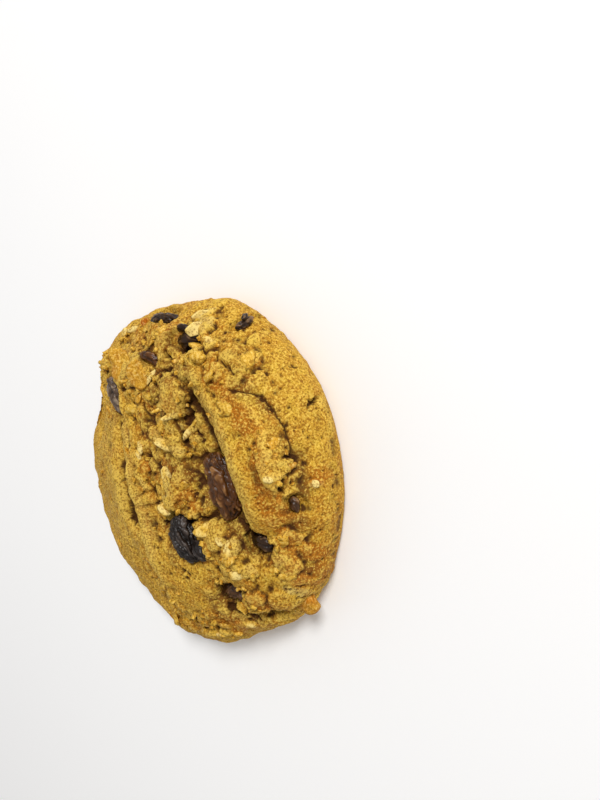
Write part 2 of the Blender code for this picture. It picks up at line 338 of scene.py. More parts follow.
def longForm(x, y, path, width, rise):
    away, along, _ = pathDistance(x, y, path)
    taper = np.clip(np.sin(math.pi * (0.06 + 0.88 * along)), 0.0, 1.0) ** 0.5
    return rise * taper * np.exp(-((away / (width * (0.45 + 0.55 * taper))) ** 2.6))


def formHeight(x, y):
    height = sum(form[5] * spot(x, y, form) for form in doughMounds)
    for path, width, rise in doughLongForms:
        height = height + longForm(x, y, path, width, rise)
    for path, drop, over, reach in doughTerraces:
        away, along, side = pathDistance(x, y, path)
        fade = ease(along / 0.12) * ease((1.0 - along) / 0.12) * np.exp(-((away / reach) ** 2))
        height = height - drop * ease(0.5 + side * away / over) * fade
    flat = np.stack([x, y, np.zeros_like(x)], 1)
    return height + doughSwell["height"] * noiseAt(flat, doughSwell["spacing"])


# the dough: flakes, lumps, pores and cracks that the crust baked into

crumbRelief = {
    "sway": 0.45,
    "coarse": 3.4,
    "coarseRise": 1.2,
    "mottle": 1.7,
    "mottleRise": 0.5,
    "grain": 0.75,
    "grainRise": 0.12,
    "fineGrain": 0.4,
    "fineGrainRise": 0.06,
    "smoothSpacing": 4.2,
    "smoothRise": 0.34,
    "ripple": 1.5,
    "rippleRise": 0.16,
    "settle": 0.75,
    "plateSeed": 11,
    "plateCount": 2600,
    "plateLength": (1.4, 5.4),
    "plateRise": (0.16, 0.62),
    "plateShare": 0.8,
    "poreSeed": 5,
    "poreCount": 1100,
    "poreReach": (0.18, 0.42),
    "poreDepth": (0.15, 0.5),
}

# patches where the crust tore and the crumb shows: x, y, half-length, half-width, turn
crumbSpots = [
    (3, -15, 12, 6.5, 0), (1, -5, 16, 5.5, 4), (16, -12, 8, 8.5, 20), (25, -20, 8, 7, -60),
    (-13, -18.5, 7, 6, 30), (0, -34.8, 8, 2.4, -4), (28, -4, 8, 11, 0), (-24, -14, 5, 5, 0),
    (-28.5, -20.5, 4.6, 8.5, 0), (19, -28.5, 6, 3.6, -20), (24, 11, 8, 7, 60), (-30, -4, 2.5, 9, 10),
    (-19, -30, 5, 2.6, 20), (-27, 8, 6, 5, 0), (-19, 8.5, 9, 3.5, 21), (-15, -32, 8, 4, 20),
]
smoothSpots = [
    (1, -29.5, 13, 2.8, 4), (-21, -6, 7, 5, 20), (-4, 24, 24, 14, 0), (-8, 10, 12, 4, 0),
    (25.5, 4, 4.2, 3.4, 20), (23, -7.6, 2.8, 2.4, 30),
]

# flakes and lumps set one by one; each covers what lies under it
doughPlates = [
    # x, y, length, width, turn, rise, edge, tone, then its slopes along and across where it has them
    (10, -26.6, 8, 2, -6, 0.3, 0.6, 0.72), (1, -27.2, 10, 2, 2, 0.3, 0.6, 0.76),
    (-7, -27.6, 7, 2, 4, 0.3, 0.6, 0.8), (19, -27.4, 3.6, 2.8, 10, 1, 0.3, 0.78),
    (17, -30.4, 4.2, 3, -30, 1, 0.25, 0.7), (21.4, -29.2, 3.6, 3.2, 20, 0.9, 0.3, 0.62),
    (19.6, -32.2, 3.4, 2.6, 0, 0.9, 0.3, 0.56), (16, -33.4, 3, 2.4, 0, 0.7, 0.3, 0.66),
    (23.4, -31.8, 3, 2.6, 0, 0.7, 0.3, 0.74), (13.8, -28.4, 3.4, 2.4, 0, 0.6, 0.4, 0.4),
    (26.6, 3.4, 9.4, 8, 20, 1.7, 0.16, 0.36, -0.03, -0.05),
    (24.2, -6.2, 8.4, 6.4, 70, 1.6, 0.1, 0.42, 0.02, -0.06), (21.9, -7, 7.6, 1.5, 82, 0.4, 0.3, 0.9),
    (30.2, -1.6, 3.8, 3.4, 0, 0.9, 0.4, 0.04), (16.4, -3.6, 9.4, 3, -8, 1.3, 0.45, 0.16),
    (12.4, -3.4, 3, 2.6, 0, 0.8, 0.4, 0.3), (17, -15.2, 8.6, 6.6, 10, 1.3, 0.3, 0.26, 0, -0.06),
    (19.6, -14.4, 3.8, 3, 30, 0.5, 0.25, 0.36, 0.05, 0),
    (16.2, -17.4, 3.2, 2.4, -20, 0.5, 0.3, 0.3, 0, 0.1),
    (15.6, -13, 5.2, 1.2, 95, 0.5, 0.3, 0.78, 0, 0.1), (17.8, -11.8, 3.4, 1.8, 60, 0.4, 0.4, 0.4),
    (13, -15, 4.8, 1.6, 92, 1, 0.2, 0.95, 0, 0.1), (10.6, -6.4, 4.8, 3.2, 70, 0.8, 0.25, 0.82, 0, 0.05),
    (8.4, -10.2, 5.4, 2.6, 55, 1.1, 0.25, 0.86), (6.3, -13.4, 4.2, 2.6, 35, 1.1, 0.25, 0.9, 0, -0.1),
    (6.9, -16.8, 3.8, 3.4, 0, 1.2, 0.25, 0.82, 0.1, -0.1), (9.2, -16.6, 4.2, 1.8, -47, 0.9, 0.25, 0.85),
    (5.8, -19.4, 3, 2.2, 40, 0.6, 0.3, 0.62), (6.4, -7.8, 3.4, 2.6, 10, 0.8, 0.4, 0.42),
    (8.3, -2.3, 3, 1.4, 0, 0.5, 0.3, 0.97), (3, -0.4, 3.4, 2.2, 20, 0.6, 0.3, 0.75),
    (4.2, -2.8, 2.8, 2.6, 0, 0.9, 0.4, 0.06), (0.8, -1.2, 3.8, 1.8, 5, 0.7, 0.25, 0.9),
    (1.4, -3.6, 2.8, 2.2, 0, 0.5, 0.3, 0.5), (1.8, -7.8, 3.6, 2.8, -10, 0.7, 0.3, 0.66),
    (-2.5, -1.3, 2.8, 3.6, 0, 0.8, 0.35, 0.62), (-0.8, -4.6, 3.2, 2.4, 30, 0.6, 0.3, 0.55),
    (4, -5.4, 2.4, 2, 0, 0.6, 0.3, 0.7), (-0.6, -10.8, 6, 2.4, 8, 1.2, 0.2, 0.9, 0.05, 0.05),
    (0.6, -12.9, 3.8, 3, 30, 1, 0.35, 0.04, 0, 0.1), (-2.6, -13.7, 5.4, 2.4, 80, 1, 0.3, 0.05, 0, 0.05),
    (-4.8, -14.2, 3.2, 3, 0, 0.9, 0.35, 0.16), (-4.7, -6.4, 4.2, 3.8, 20, 1.2, 0.25, 0.92, 0, -0.1),
    (-6.4, -13.2, 3, 3, 0, 0.9, 0.3, 0.78), (-3.4, -9.8, 3.2, 2.8, 0, 0.7, 0.3, 0.55),
    (-6.6, -9.6, 2.4, 2, 0, 0.6, 0.3, 0.6), (-9.7, -17.6, 7.2, 4.4, 96, 1.2, 0.16, 0.74, 0, 0.08),
    (-9, -20.8, 3.2, 2.8, 0, 0.6, 0.3, 0.6), (-12.4, -18, 3, 2.6, 0, 0.8, 0.3, 0.8),
    (-11.8, -20.2, 2.4, 1.5, 30, 0.7, 0.25, 0.97), (-13.4, -22, 4.6, 2.4, -22, 0.9, 0.2, 0.93),
    (-16.4, -21, 3.8, 2.8, 40, 0.7, 0.3, 0.55), (-18.4, -23.2, 3.2, 5, 5, 0.8, 0.25, 0.84),
    (-17.2, -18.4, 4, 3.4, 0, 0.7, 0.35, 0.5), (-14.2, -15.2, 3.6, 3, 0, 0.7, 0.35, 0.48),
    (-17.6, -18.2, 3, 3, 0, 0.5, 0.35, 0.6), (-16.4, -25, 3.2, 2.2, 30, 0.6, 0.3, 0.66),
    (28.4, -21.8, 6, 4, 95, 1, 0.18, 0.97, 0, 0.1), (31.2, -21.2, 5, 2.4, 95, 0.7, 0.2, 0.92),
    (24.8, -25.2, 2.8, 2.2, 60, 0.7, 0.25, 0.82), (23.3, -23.4, 3.2, 2.2, 20, 0.7, 0.25, 0.78),
    (27.6, -13.4, 4.8, 4.2, -45, 1, 0.4, 0.03), (30.6, -10.2, 4.2, 3, 80, 0.8, 0.35, 0.3),
    (25, -15.6, 3.2, 2.6, 0, 0.8, 0.35, 0.45), (22.6, -17.8, 4, 3.2, 20, 0.8, 0.35, 0.38),
    (20.4, -19.8, 4.2, 3.2, 60, 0.8, 0.3, 0.56), (24.2, -12, 3.2, 2.2, 0, 0.5, 0.3, 0.62),
    (19, -23, 4.6, 3.2, -30, 0.8, 0.35, 0.52), (21.6, -25.8, 3.8, 3, 20, 0.8, 0.35, 0.4),
    (16.4, -26.8, 3.4, 2.8, 0, 0.5, 0.5, 0.1), (34, 6.6, 2.8, 2.6, 0, 0.8, 0.3, 0.82),
    (33.8, 2.2, 2, 4, 0, 0.8, 0.3, 0.92), (34.6, -1, 2.2, 2.4, 0, 0.8, 0.3, 0.03),
    (28.4, 11, 3.2, 3.2, 0, 1, 0.3, 0.3), (25, 14.8, 3.2, 3.2, 0, 1, 0.3, 0.42),
    (21.2, 16.6, 3.6, 3, 0, 0.9, 0.3, 0.62), (15.4, 15.8, 3.6, 2.8, 20, 0.6, 0.4, 0.6),
    (20.7, 27, 3, 3, 0, 0.8, 0.4, 0.55), (34, -17.4, 3.4, 4, 0, 0.7, 0.35, 0.45),
    (33.2, -22.6, 3, 3.6, 0, 0.5, 0.35, 0.6), (4.4, -34.6, 6.4, 3.2, 2, 0.6, 0.8, 0.6),
    (-1, -34.8, 5, 3.2, -6, 0.55, 0.8, 0.5), (8.8, -33.8, 3.4, 2.4, -20, 0.4, 0.8, 0.6),
    (-1.4, -35.4, 2, 1.5, 60, 0.5, 0.25, 1), (2.6, -35.4, 2.4, 1.6, 0, 0.5, 0.25, 0.85),
    (-4.5, -38.4, 1.7, 1.6, 0, 0.5, 0.3, 1), (-13.2, -32.8, 4.2, 3.2, 30, 1.1, 0.3, 0.86),
    (-17.8, -30.2, 6.4, 3.6, 20, 1.3, 0.3, 0.84), (-21.4, -30.4, 2.6, 2, 0, 0.6, 0.3, 0.84),
    (-24.2, -29, 5.2, 3, 20, 0.6, 0.4, 0.9), (-22.2, -31.2, 4, 2.4, 10, 0.5, 0.4, 0.85),
    (-26.8, -27.2, 3.2, 3.2, 0, 0.6, 0.3, 0.8), (-24.2, -21.6, 3.4, 4.6, 10, 1.6, 0.3, 0.12),
    (-25.2, -26.2, 4.4, 5.4, 60, 1.5, 0.3, 0.36), (-26.4, -19.6, 3, 3.4, 0, 0.9, 0.3, 0.62),
    (-26.2, -17.2, 2.8, 2.2, 0, 0.7, 0.25, 0.92), (-29.8, -17.2, 2.6, 3.4, 0, 0.6, 0.3, 0.08),
    (-30.6, -21.6, 2.6, 3.4, 0, 0.6, 0.3, 0.6), (-31.2, -13.2, 2.4, 4, 0, 0.6, 0.3, 0.12),
    (-33.4, -7, 2.2, 4.4, 0, 0.6, 0.3, 0.66), (-34.4, -1.6, 2.2, 4, 0, 0.6, 0.3, 0.72),
    (-33.6, 4.2, 2.4, 3.8, 0, 0.6, 0.3, 0.4), (-29.6, 11, 3, 3.6, 0, 0.6, 0.4, 0.5),
    (-24.6, 16.4, 3.4, 3.4, 0, 0.6, 0.4, 0.56), (-23, 10.4, 3.6, 2.6, 30, 0.6, 0.35, 0.62),
    (-24.4, 3.6, 3.4, 3, 0, 1, 0.3, 0.88), (-26.6, 1.2, 3.6, 3, 30, 1, 0.3, 0.14),
    (-28.4, -1.4, 3.2, 2.8, 0, 0.9, 0.3, 0.78), (-21.8, 5.4, 3, 2.4, 0, 0.8, 0.3, 0.6),
    (-18.4, 11.8, 3, 2.4, 20, 0.7, 0.3, 0.4), (25.2, -13.2, 2.6, 2.4, 0, 0.7, 0.3, 0.88),
]

# cracks: path, half-width, depth
cracks = [
    ([(15.2, -29.6), (14.9, -30.6), (14.1, -32.4), (13.0, -34.0), (10.8, -35.1), (8.8, -36.0)], 0.26, 0.6),
    ([(8.8, -36.0), (6.5, -37.1), (4.3, -37.3), (1.6, -37.1), (-0.3, -37.0)], 0.3, 0.7),
    ([(-0.3, -37.0), (-2.9, -36.4), (-3.9, -35.9)], 0.5, 1.3),
    ([(3.0, 8.5), (-0.3, 9.1), (-2.6, 9.4), (-6.0, 9.9), (-8.2, 9.0), (-10.2, 7.2), (-13.1, 6.4),
      (-15.6, 6.0), (-17.9, 4.6)], 0.6, 0.9),
    ([(22.6, -10.4), (21.4, -8.4), (20.7, -4.6), (20.8, -0.6), (21.4, 3.2)], 0.4, 0.9),
    ([(20.5, -28.3), (19.3, -29.3), (17.7, -30.7)], 0.3, 0.8),
    ([(21.0, -5.6), (20.9, -8.3), (21.8, -9.9), (22.4, -12.0), (21.9, -13.9)], 0.4, 1.0),
    ([(28.7, 3.6), (26.9, 0.1), (23.8, -3.0), (22.0, -4.4)], 0.35, 0.8),
    ([(21.0, -12.2), (18.4, -12.1), (16.0, -9.9), (14.0, -7.4)], 0.55, 1.3),
    ([(18.4, -20.8), (15.7, -20.0), (13.4, -18.2), (11.6, -18.2)], 0.5, 1.1),
    ([(28.4, -17.4), (27.6, -19.2), (25.4, -22.8), (22.8, -25.6)], 0.45, 1.1),
    ([(-7.6, -23.6), (-8.9, -24.8), (-10.6, -25.4), (-13.2, -26.4), (-14.8, -26.3)], 0.5, 0.9),
    ([(-27.8, -14.6), (-28.2, -18.4), (-27.8, -23.5), (-28.8, -26.0)], 0.45, 1.2),
    ([(-27.0, -12.4), (-28.5, -14.7), (-29.6, -17.5)], 0.6, 1.2),
    ([(-7.6, -4.0), (-8.3, -9.0), (-7.6, -13.5), (-7.4, -18.5)], 0.4, 1.2),
    ([(-32.8, -1.0), (-32.9, -3.6)], 0.3, 0.7), ([(-32.8, -4.9), (-32.7, -7.7)], 0.35, 0.8),
    ([(10.5, -39.9), (8.8, -39.3)], 0.30, 1.3), ([(-22.9, -28.2), (-23.5, -28.9)], 0.35, 0.9),
]

# single pits: x, y, reach, depth
pits = [
    (12, -17.9, 1.2, 2.2), (-3.4, -14.7, 0.8, 1.4), (-3.3, -3.6, 0.6, 1.2), (18.2, -17.2, 0.4, 0.7),
    (6.9, -37, 0.7, 1.2), (29.9, -23.9, 0.45, 0.6), (26.9, -28.8, 0.45, 0.6), (26.1, -26.9, 0.45, 0.6),
    (24.5, -27.2, 0.4, 0.6), (22.5, -27.5, 0.7, 0.9), (22.6, -33.7, 0.4, 0.5), (19.4, -37, 0.5, 0.6),
    (18.8, -35.2, 0.55, 0.7), (16.5, -34.5, 0.6, 0.8), (13.8, -38.1, 0.55, 0.8), (17.8, -33.4, 0.4, 0.7),
    (29.4, -28, 0.35, 0.5), (11.3, -37.5, 0.4, 0.5), (9.9, -37.4, 0.4, 0.5), (-5.3, -37.8, 0.45, 0.6),
    (-10.5, -37.5, 0.5, 0.6), (-8.7, -36.1, 0.5, 0.7), (-29.9, -15.8, 0.9, 1.3), (-29.8, -19.5, 0.8, 1.2),
    (-30.7, -16.3, 0.5, 0.8), (-17.9, -6.6, 1, 1.8), (-18.7, -7.6, 0.8, 1.4), (-19.4, -6.8, 0.8, 1.4),
    (5, 20.3, 0.5, 0.6), (6.6, 23.5, 0.45, 0.5), (-16, 12.4, 0.6, 0.7), (-2.2, 5.6, 0.6, 0.9),
    (31.3, 3.6, 0.7, 1), (27.9, 11.4, 0.6, 0.7), (25.2, 14.4, 0.7, 0.9),
]

# where the dough browned: x, y, half-length, half-width, turn, strength
toastedSpots = [
    (14, -27.8, 3.4, 1.7, 36, 0.9), (8.6, -31, 4.4, 1.9, 20, 1.1), (1.6, -32.3, 5, 1.6, 2, 1.1),
    (-5.6, -32, 4.6, 2.2, 0, 1.2), (-24.6, -21, 4, 4, 0, 0.5), (-16, -31, 8, 4, 20, 0.35),
    (-11, -23.6, 4, 2.4, 0, 0.4), (-30, -8, 3, 8, 0, 0.4), (-22.6, -31.9, 2.2, 2.4, 0, 0.9),
    (-20.4, -30.4, 2, 1.6, 0, 0.5), (-29.6, -14, 2.4, 3, 0, 1), (-30.9, -15.8, 1.6, 2, 0, 1),
    (-9.6, -33.2, 2.4, 2.2, 0, 0.9), (27.6, -14.8, 2.6, 1.8, 0, 1), (-28.4, -20, 2, 2.4, 0, 0.9),
    (16.7, -27.3, 1.6, 1.2, 0, 1), (-19, -31.7, 2.4, 1.8, 0, 0.8), (-17.5, -33.8, 3, 2.2, 0, 0.9),
    (-6, -38, 6, 1.5, 0, 0.45), (-13.7, -32.4, 2.4, 1.6, 0, 0.7), (20.4, -26.5, 2, 1.6, 0, 0.7),
    (23.3, -17.1, 2.5, 1.6, 0, 0.8), (28, -13.5, 3.4, 2.4, -50, 1.3), (30, -2.5, 2.6, 2.4, 0, 1.4),
    (34, 0.6, 2, 1.4, 0, 1.3), (15.7, -31.3, 1.6, 1.2, 0, 0.9), (18.8, -32.7, 1.4, 1.2, 0, 0.9),
    (-1, -12.6, 3.6, 1.6, -35, 1.4), (-4.6, -13.8, 1.8, 1.4, 0, 1), (4.3, -2.5, 1.6, 1.4, 0, 1.1),
    (-2.7, -1, 1.8, 1.4, 0, 0.8), (14, -7, 5, 2, 20, 0.6), (-13.2, -36.4, 3, 2.4, 0, 0.5),
    (-3, -39.2, 2.6, 1, 0, 0.6), (-26, -23, 3.6, 2.2, 60, 1), (-30.5, -11, 3, 4, 60, 1.1),
    (-33, 4, 2.4, 8, 0, 0.6), (27.9, 11.4, 1.2, 1.2, 0, 1.2), (36, -14, 3, 5, 10, 0.5),
]


def crumbShare(x, y):
    flat = np.stack([x, y, np.zeros_like(x)], 1)
    crumb = np.clip(sum(spot(x, y, form) for form in crumbSpots), 0.0, 1.0)
    crumb = np.clip(crumb + 0.35 * noiseAt(flat, 5.0, 3.1) + 0.04, 0.0, 1.0)
    for form in smoothSpots:
        crumb = crumb * (1.0 - 0.85 * spot(x, y, form))
    away = np.hypot(x, y) / outlineRadius(np.arctan2(y, x))
    return crumb * (1.0 - 0.6 * ease((away - 0.88) / 0.12))


def chancePlates():
    # flakes that the list above doesn't name, the larger ones first
    values = crumbRelief
    generator = np.random.default_rng(values["plateSeed"])
    draws = generator.random((values["plateCount"], 8))
    across = 42.0 * (2.0 * draws[:, 0] - 1.0)
    down = 42.0 * (2.0 * draws[:, 1] - 1.0)
    share = crumbShare(across, down)
    outward = np.hypot(across, down) / outlineRadius(np.arctan2(down, across))
    lower = 1.0 - 0.7 * ease((outward - 0.86) / 0.12)
    shortest, longest = values["plateLength"]
    lowest, highest = values["plateRise"]
    plates = []
    for number, (_, _, size, slim, turn, slope, shade, keep) in enumerate(draws):
        if keep > 0.3 + 0.7 * share[number]:
            continue
        length = shortest + (longest - shortest) * size ** 1.7
        rise = lower[number] * (0.25 + 0.75 * share[number]) * (lowest + (highest - lowest) * size)
        tone = 0.5 + share[number] * (1.1 * shade - 0.66)
        edge = 0.75 - 0.45 * share[number]
        slopes = 0.3 * share[number] * (slope - 0.5), 0.2 * share[number] * (shade - 0.5)
        plates.append((across[number], down[number], length, length * (0.5 + 0.4 * slim), 180.0 * turn,
                       rise, edge, tone, *slopes))
    return sorted(plates, key=lambda plate: -plate[2])


plateCorners = 2.4   # 2 would make the plates oval, a large power square


def layPlates(level, tone, bare, x, y, plates, share=1.0):
    # lays each plate in turn; those with a sharp edge also level what lies under them
    for centreX, centreY, length, width, turn, rise, edge, shade, *slopes in plates:
        reach = 0.6 * length + 0.6
        near = np.flatnonzero((np.abs(x - centreX) < reach) & (np.abs(y - centreY) < reach))
        if not len(near):
            continue
        outAlong, outAcross = alongAcross(x[near], y[near], centreX, centreY, turn)
        along, across = np.abs(outAlong) / (0.5 * length), np.abs(outAcross) / (0.5 * width)
        away = (along ** plateCorners + across ** plateCorners) ** (1.0 / plateCorners)
        inside = near[away < 0.8]
        if not len(inside):
            continue
        top = np.mean(level[inside]) + share * rise * (0.88 - 0.4 * away ** 2)
        if slopes:
            top = top + slopes[0] * outAlong + slopes[1] * outAcross
        cover = ease((1.0 - away) / edge)
        lift = top - level[near]
        if edge < 0.2:
            bare[near] = np.maximum(bare[near], cover)
        else:
            lift = np.maximum(lift, 0.0)
        level[near] += lift * cover
        tone[near] += (shade - tone[near]) * cover * (top > level[near] - 0.05)


socketGap = 0.5   # how much longer and wider a socket is than the skin in it


def socketDepth(x, y):
    # how far the dough sinks under each raisin, and a ring round it that paints shade at the raisin's edge
    # and keeps flakes off
    sink, ring = np.zeros_like(x), np.zeros_like(x)
    for node, (plainX, plainY, *size, plainTurn, _, _) in raisinShapes.items():
        shift, turn = raisinShifts.get(node, ((0.0, 0.0, 0.0), plainTurn))
        centreX, centreY = plainX + shift[0], plainY + shift[1]
        length, width, thickness = (extent + socketGap for extent in raisinSizes.get(node, size))
        along, across = alongAcross(x, y, centreX, centreY, turn)
        reach = np.hypot(along / (0.5 * length), across / (0.5 * width))
        sink = np.maximum(sink, 0.42 * thickness * ease((1.08 - reach) / 0.3))
        ring = np.maximum(ring, np.exp(-(((reach - 1.0) / 0.16) ** 2)))
    return sink, ring


hollowRounds = 5, 24, 90   # smoothing that finds narrow, middling and wide hollows


def smoothed(values, faces, count, rounds):
    # spreads a value over the mesh's edges
    ends = np.concatenate([faces[:, [0, 1]], faces[:, [1, 2]], faces[:, [2, 0]]])
    degree = np.bincount(ends[:, 0], minlength=count) + np.bincount(ends[:, 1], minlength=count)
    for _ in range(rounds):
        spread = np.bincount(ends[:, 0], values[ends[:, 1]], count)
        spread += np.bincount(ends[:, 1], values[ends[:, 0]], count)
        values = spread / degree
    return values


crustFinish = {
    "tones": [(0.0, "#B4600A"), (0.2, "#C07C18"), (0.5, "#D6A434"), (0.75, "#E0B444"), (1.0, "#EAD07E")],
    "deepGolden": "#C48A20",
    "toasted": "#B8680C",
    "crumb": "#B07A26",
    "dusty": "#C6A656",
    # moist crumb colour, also used as painted shade in the hollows
    "moistAndShade": "#70481C",
    # painted shade in hollows, cracks and round the raisins
    "cavityShade": "#42220A",
    "straw": "#E0B63C",
    # pale specks, and a painted highlight on raised lumps
    "paleAndHighlight": "#F2CC5C",
    "speck": "#8E5C16",
    "baseBrown": "#A06A2A",
    "speckSpacing": 0.43,
    "roughness": 0.7,
}


def layeredColour(tree, finish, tone, layers):
    # a colour for each tone, then every layer over it; a layer gives its colour,
    # what it follows, where that starts and is full, and its share
    ramp = addNode(tree, "ShaderNodeValToRGB", links={"Fac": tone})
    first, last = ramp.color_ramp.elements
    first.color, last.color = fromHex(finish["tones"][0][1]), fromHex(finish["tones"][-1][1])
    for position, text in finish["tones"][1:-1]:
        ramp.color_ramp.elements.new(position).color = fromHex(text)
    colour = ramp.outputs["Color"]
    for name, source, start, full, share in layers:
        amount = addNode(tree, "ShaderNodeMapRange", {"interpolation_type": "SMOOTHSTEP"},
                         {"From Min": start, "From Max": full, "To Max": share}, {"Value": source})
        mix = addNode(tree, "ShaderNodeMix", {"data_type": "RGBA"}, {7: fromHex(finish[name])},
                      {0: amount.outputs[0], 6: colour})
        colour = mix.outputs[2]
    return colour


def crustMaterial():
    # baked oat dough: dry, matt and finely porous, golden where it faced the heat
    finish = crustFinish
    material, tree = newMaterial("baked oat dough")
    place = addNode(tree, "ShaderNodeTexCoord").outputs["Object"]
    patches = addNode(tree, "ShaderNodeTexNoise", values={"Scale": 1.0 / (5.0 * mm), "Detail": 4.0},
                      links={"Vector": place})
    specks = addNode(tree, "ShaderNodeTexNoise", links={"Vector": place},
                     values={"Scale": 1.0 / (finish["speckSpacing"] * mm), "Detail": 3.0, "Roughness": 0.7})
    blotches = addNode(tree, "ShaderNodeTexNoise", values={"Scale": 1.0 / (2.4 * mm), "Detail": 4.0},
                       links={"Vector": place})
    marks = {name: addNode(tree, "ShaderNodeAttribute", {"attribute_name": name}).outputs["Fac"]
             for name in ("tone", "crumb", "dusty", "moistAndShade", "cavityShade", "paleAndHighlight", "toasted", "base")}
    colour = layeredColour(tree, finish, marks["tone"], [
        ("deepGolden", patches.outputs["Fac"], 0.42, 0.62, 0.4),
        ("crumb", marks["crumb"], 0.2, 1.0, 0.25),
        ("toasted", marks["toasted"], 0.05, 1.0, 0.85),
        ("dusty", marks["dusty"], 0.0, 1.0, 0.6),
        # moist crumb and painted shade in the hollows and crevices
        ("moistAndShade", marks["moistAndShade"], 0.0, 1.0, 0.8),
        ("baseBrown", marks["base"], 0.0, 1.0, 0.9),
        ("straw", blotches.outputs["Fac"], 0.52, 0.64, 0.5),
        ("toasted", blotches.outputs["Fac"], 0.46, 0.34, 0.35),
        # painted highlight on raised lumps
        ("paleAndHighlight", marks["paleAndHighlight"], 0.0, 0.8, 0.6),
        ("speck", specks.outputs["Fac"], 0.50, 0.61, 0.85),
        ("paleAndHighlight", specks.outputs["Fac"], 0.48, 0.37, 0.85),
        # painted shade in the hollows, cracks and round the raisins
        ("cavityShade", marks["cavityShade"], 0.0, 1.0, 0.95),
    ])
    bump = addNode(tree, "ShaderNodeBump", values={"Strength": 0.9, "Distance": 0.55 * mm},
                   links={"Height": specks.outputs["Fac"]})
    shader = addNode(tree, "ShaderNodeBsdfPrincipled",
                     values={"Roughness": finish["roughness"], "Specular IOR Level": 0.15},
                     links={"Base Color": colour, "Normal": bump.outputs[0]})
    finishMaterial(tree, shader)
    return material


# darker, moister crumb and painted shade in the hollows and crevices: x, y, half-length, half-width, turn,
# strength
moistAndShadeSpots = [
    (-1.6, -17.8, 8, 3, 44, 0.8), (3.2, -18.2, 4, 1.8, 0, 0.3), (7.1, -18.8, 2.6, 1.6, 0, 0.6),
    (-4.2, -16.7, 2.4, 1.8, 0, 0.8), (2.8, -13.5, 2.2, 1.6, 0, 0.5), (5.2, -5.7, 2.6, 1.6, 0, 0.5),
    (8.9, -8, 1.6, 2.2, 0, 0.5), (9.8, -14.2, 1.4, 1.6, 0, 0.6), (12.5, -4, 2.4, 1.6, 0, 0.5),
    (6, -12, 1.6, 1.4, 0, 0.8), (-7.6, -4.2, 5, 1.8, 20, 0.9), (-13.6, -5, 3, 1.8, 0, 0.8),
    (-8.6, -12, 5, 1.2, 0, 0.6), (9.5, -4, 5, 1.4, 0, 0.4), (1, -5.6, 6, 2, 0, 0.4),
    (11, -17.2, 2.8, 2.4, 0, 0.9), (15.6, -19.6, 4.6, 1.2, 18, 0.5), (20.4, -14.6, 3.4, 2.4, 0, 0.5),
    (17.6, -9.6, 4, 2, 50, 0.7), (14.6, -12.1, 2.6, 1.8, 0, 0.4), (24.5, -10.2, 3, 1.4, 30, 0.5),
    (24.9, -5.4, 2.6, 2.2, 0, 0.35), (18.3, 9.6, 2.6, 2.6, 0, 0.8), (13.2, -5.6, 3, 1.8, 0, 0.4),
    (27.2, -15.6, 2.8, 2.4, 0, 0.7), (29.2, -19.4, 2.4, 2.4, 0, 0.5), (24.2, -26.4, 2.2, 1.8, 0, 0.4),
    (22, -30.2, 2.4, 1.8, 0, 0.4), (-10, -23.5, 4, 1.6, 20, 0.9), (-13.5, -24.4, 2.6, 1.6, 0, 0.6),
    (6, -21.6, 8, 1, 8, 0.5), (12.2, -33, 4.6, 1.5, 43, 0.9), (15.6, -30.6, 2.6, 2.6, 0, 0.4),
    (7, -34.9, 2.6, 1.2, 0, 0.3), (2, -36.4, 5, 1, 0, 0.4), (-2.2, -37.2, 3.4, 1, -10, 0.8),
    (-5.4, -36.5, 1.8, 1.4, 0, 0.6), (-9.6, -33.8, 2.4, 1.6, 0, 0.4), (-26.4, -11.8, 2.8, 3.2, 0, 0.9),
    (-28.4, -15.2, 4.4, 1.7, 63, 1), (-14, 8.4, 7, 3, 10, 0.3), (-29.4, -16.4, 2, 4.4, 0, 0.6),
    (-24, -11.4, 3, 2, 0, 0.6), (-15.3, -25.6, 2, 1.6, 0, 0.4), (-1, 8.4, 12, 1.4, -2, 0.4),
    (-13, 6.4, 5, 1.2, 10, 0.5), (31.5, 2, 3, 3, 0, 0.3), (-19.8, -32.4, 2, 1.8, 0, 0.9),
    (-11.2, -34.8, 1.6, 1.6, 0, 0.7), (7, -11.9, 1.8, 1.5, 0, 0.8), (6.4, -6.8, 2, 1.8, 0, 0.5),
    (4, -11, 1.8, 1.4, 0, 0.6), (20.2, -20.6, 1.8, 1.8, 0, 0.9), (26.6, -16.8, 1.8, 1.6, 0, 0.9),
    (21.4, -13.2, 2.6, 3.2, 0, 0.5), (18.6, -10.4, 2.4, 2.2, 0, 0.5),
]

# greyer, floury crust: x, y, half-length, half-width, turn, strength
dustySpots = [
    (6, 3.6, 10, 3, 8, 1), (-9, 2, 12, 3, 8, 1), (15, -22.4, 5, 2.2, 14, 0.9), (6, -25.4, 7, 2.2, 6, 0.9),
    (-3, -26.6, 8, 2.2, 2, 0.8), (25.4, 0, 6, 9, 0, 0.8), (2, 19, 26, 11, 0, 0.7),
    (17, -15, 5, 4, 0, 0.5), (-14, -19, 6, 4, 0, 0.4), (12, -36.5, 12, 5, 20, 0.2),
]


def placesOn(points, upper, path, step=0.3):
    # points along a plan path, lifted onto the nearest of the dough's own points
    corners = np.array(path, float)
    lengths = np.hypot(*(corners[1:] - corners[:-1]).T)
    distance = np.concatenate([[0.0], np.cumsum(lengths)])
    count = max(2, int(distance[-1] / step))
    along = np.linspace(0.0, distance[-1], count)
    plan = np.stack([np.interp(along, distance, corners[:, axis]) for axis in range(2)], 1)
    nearest = [upper[np.argmin(np.sum((points[upper, :2] - place) ** 2, 1))] for place in plan]
    return points[nearest]


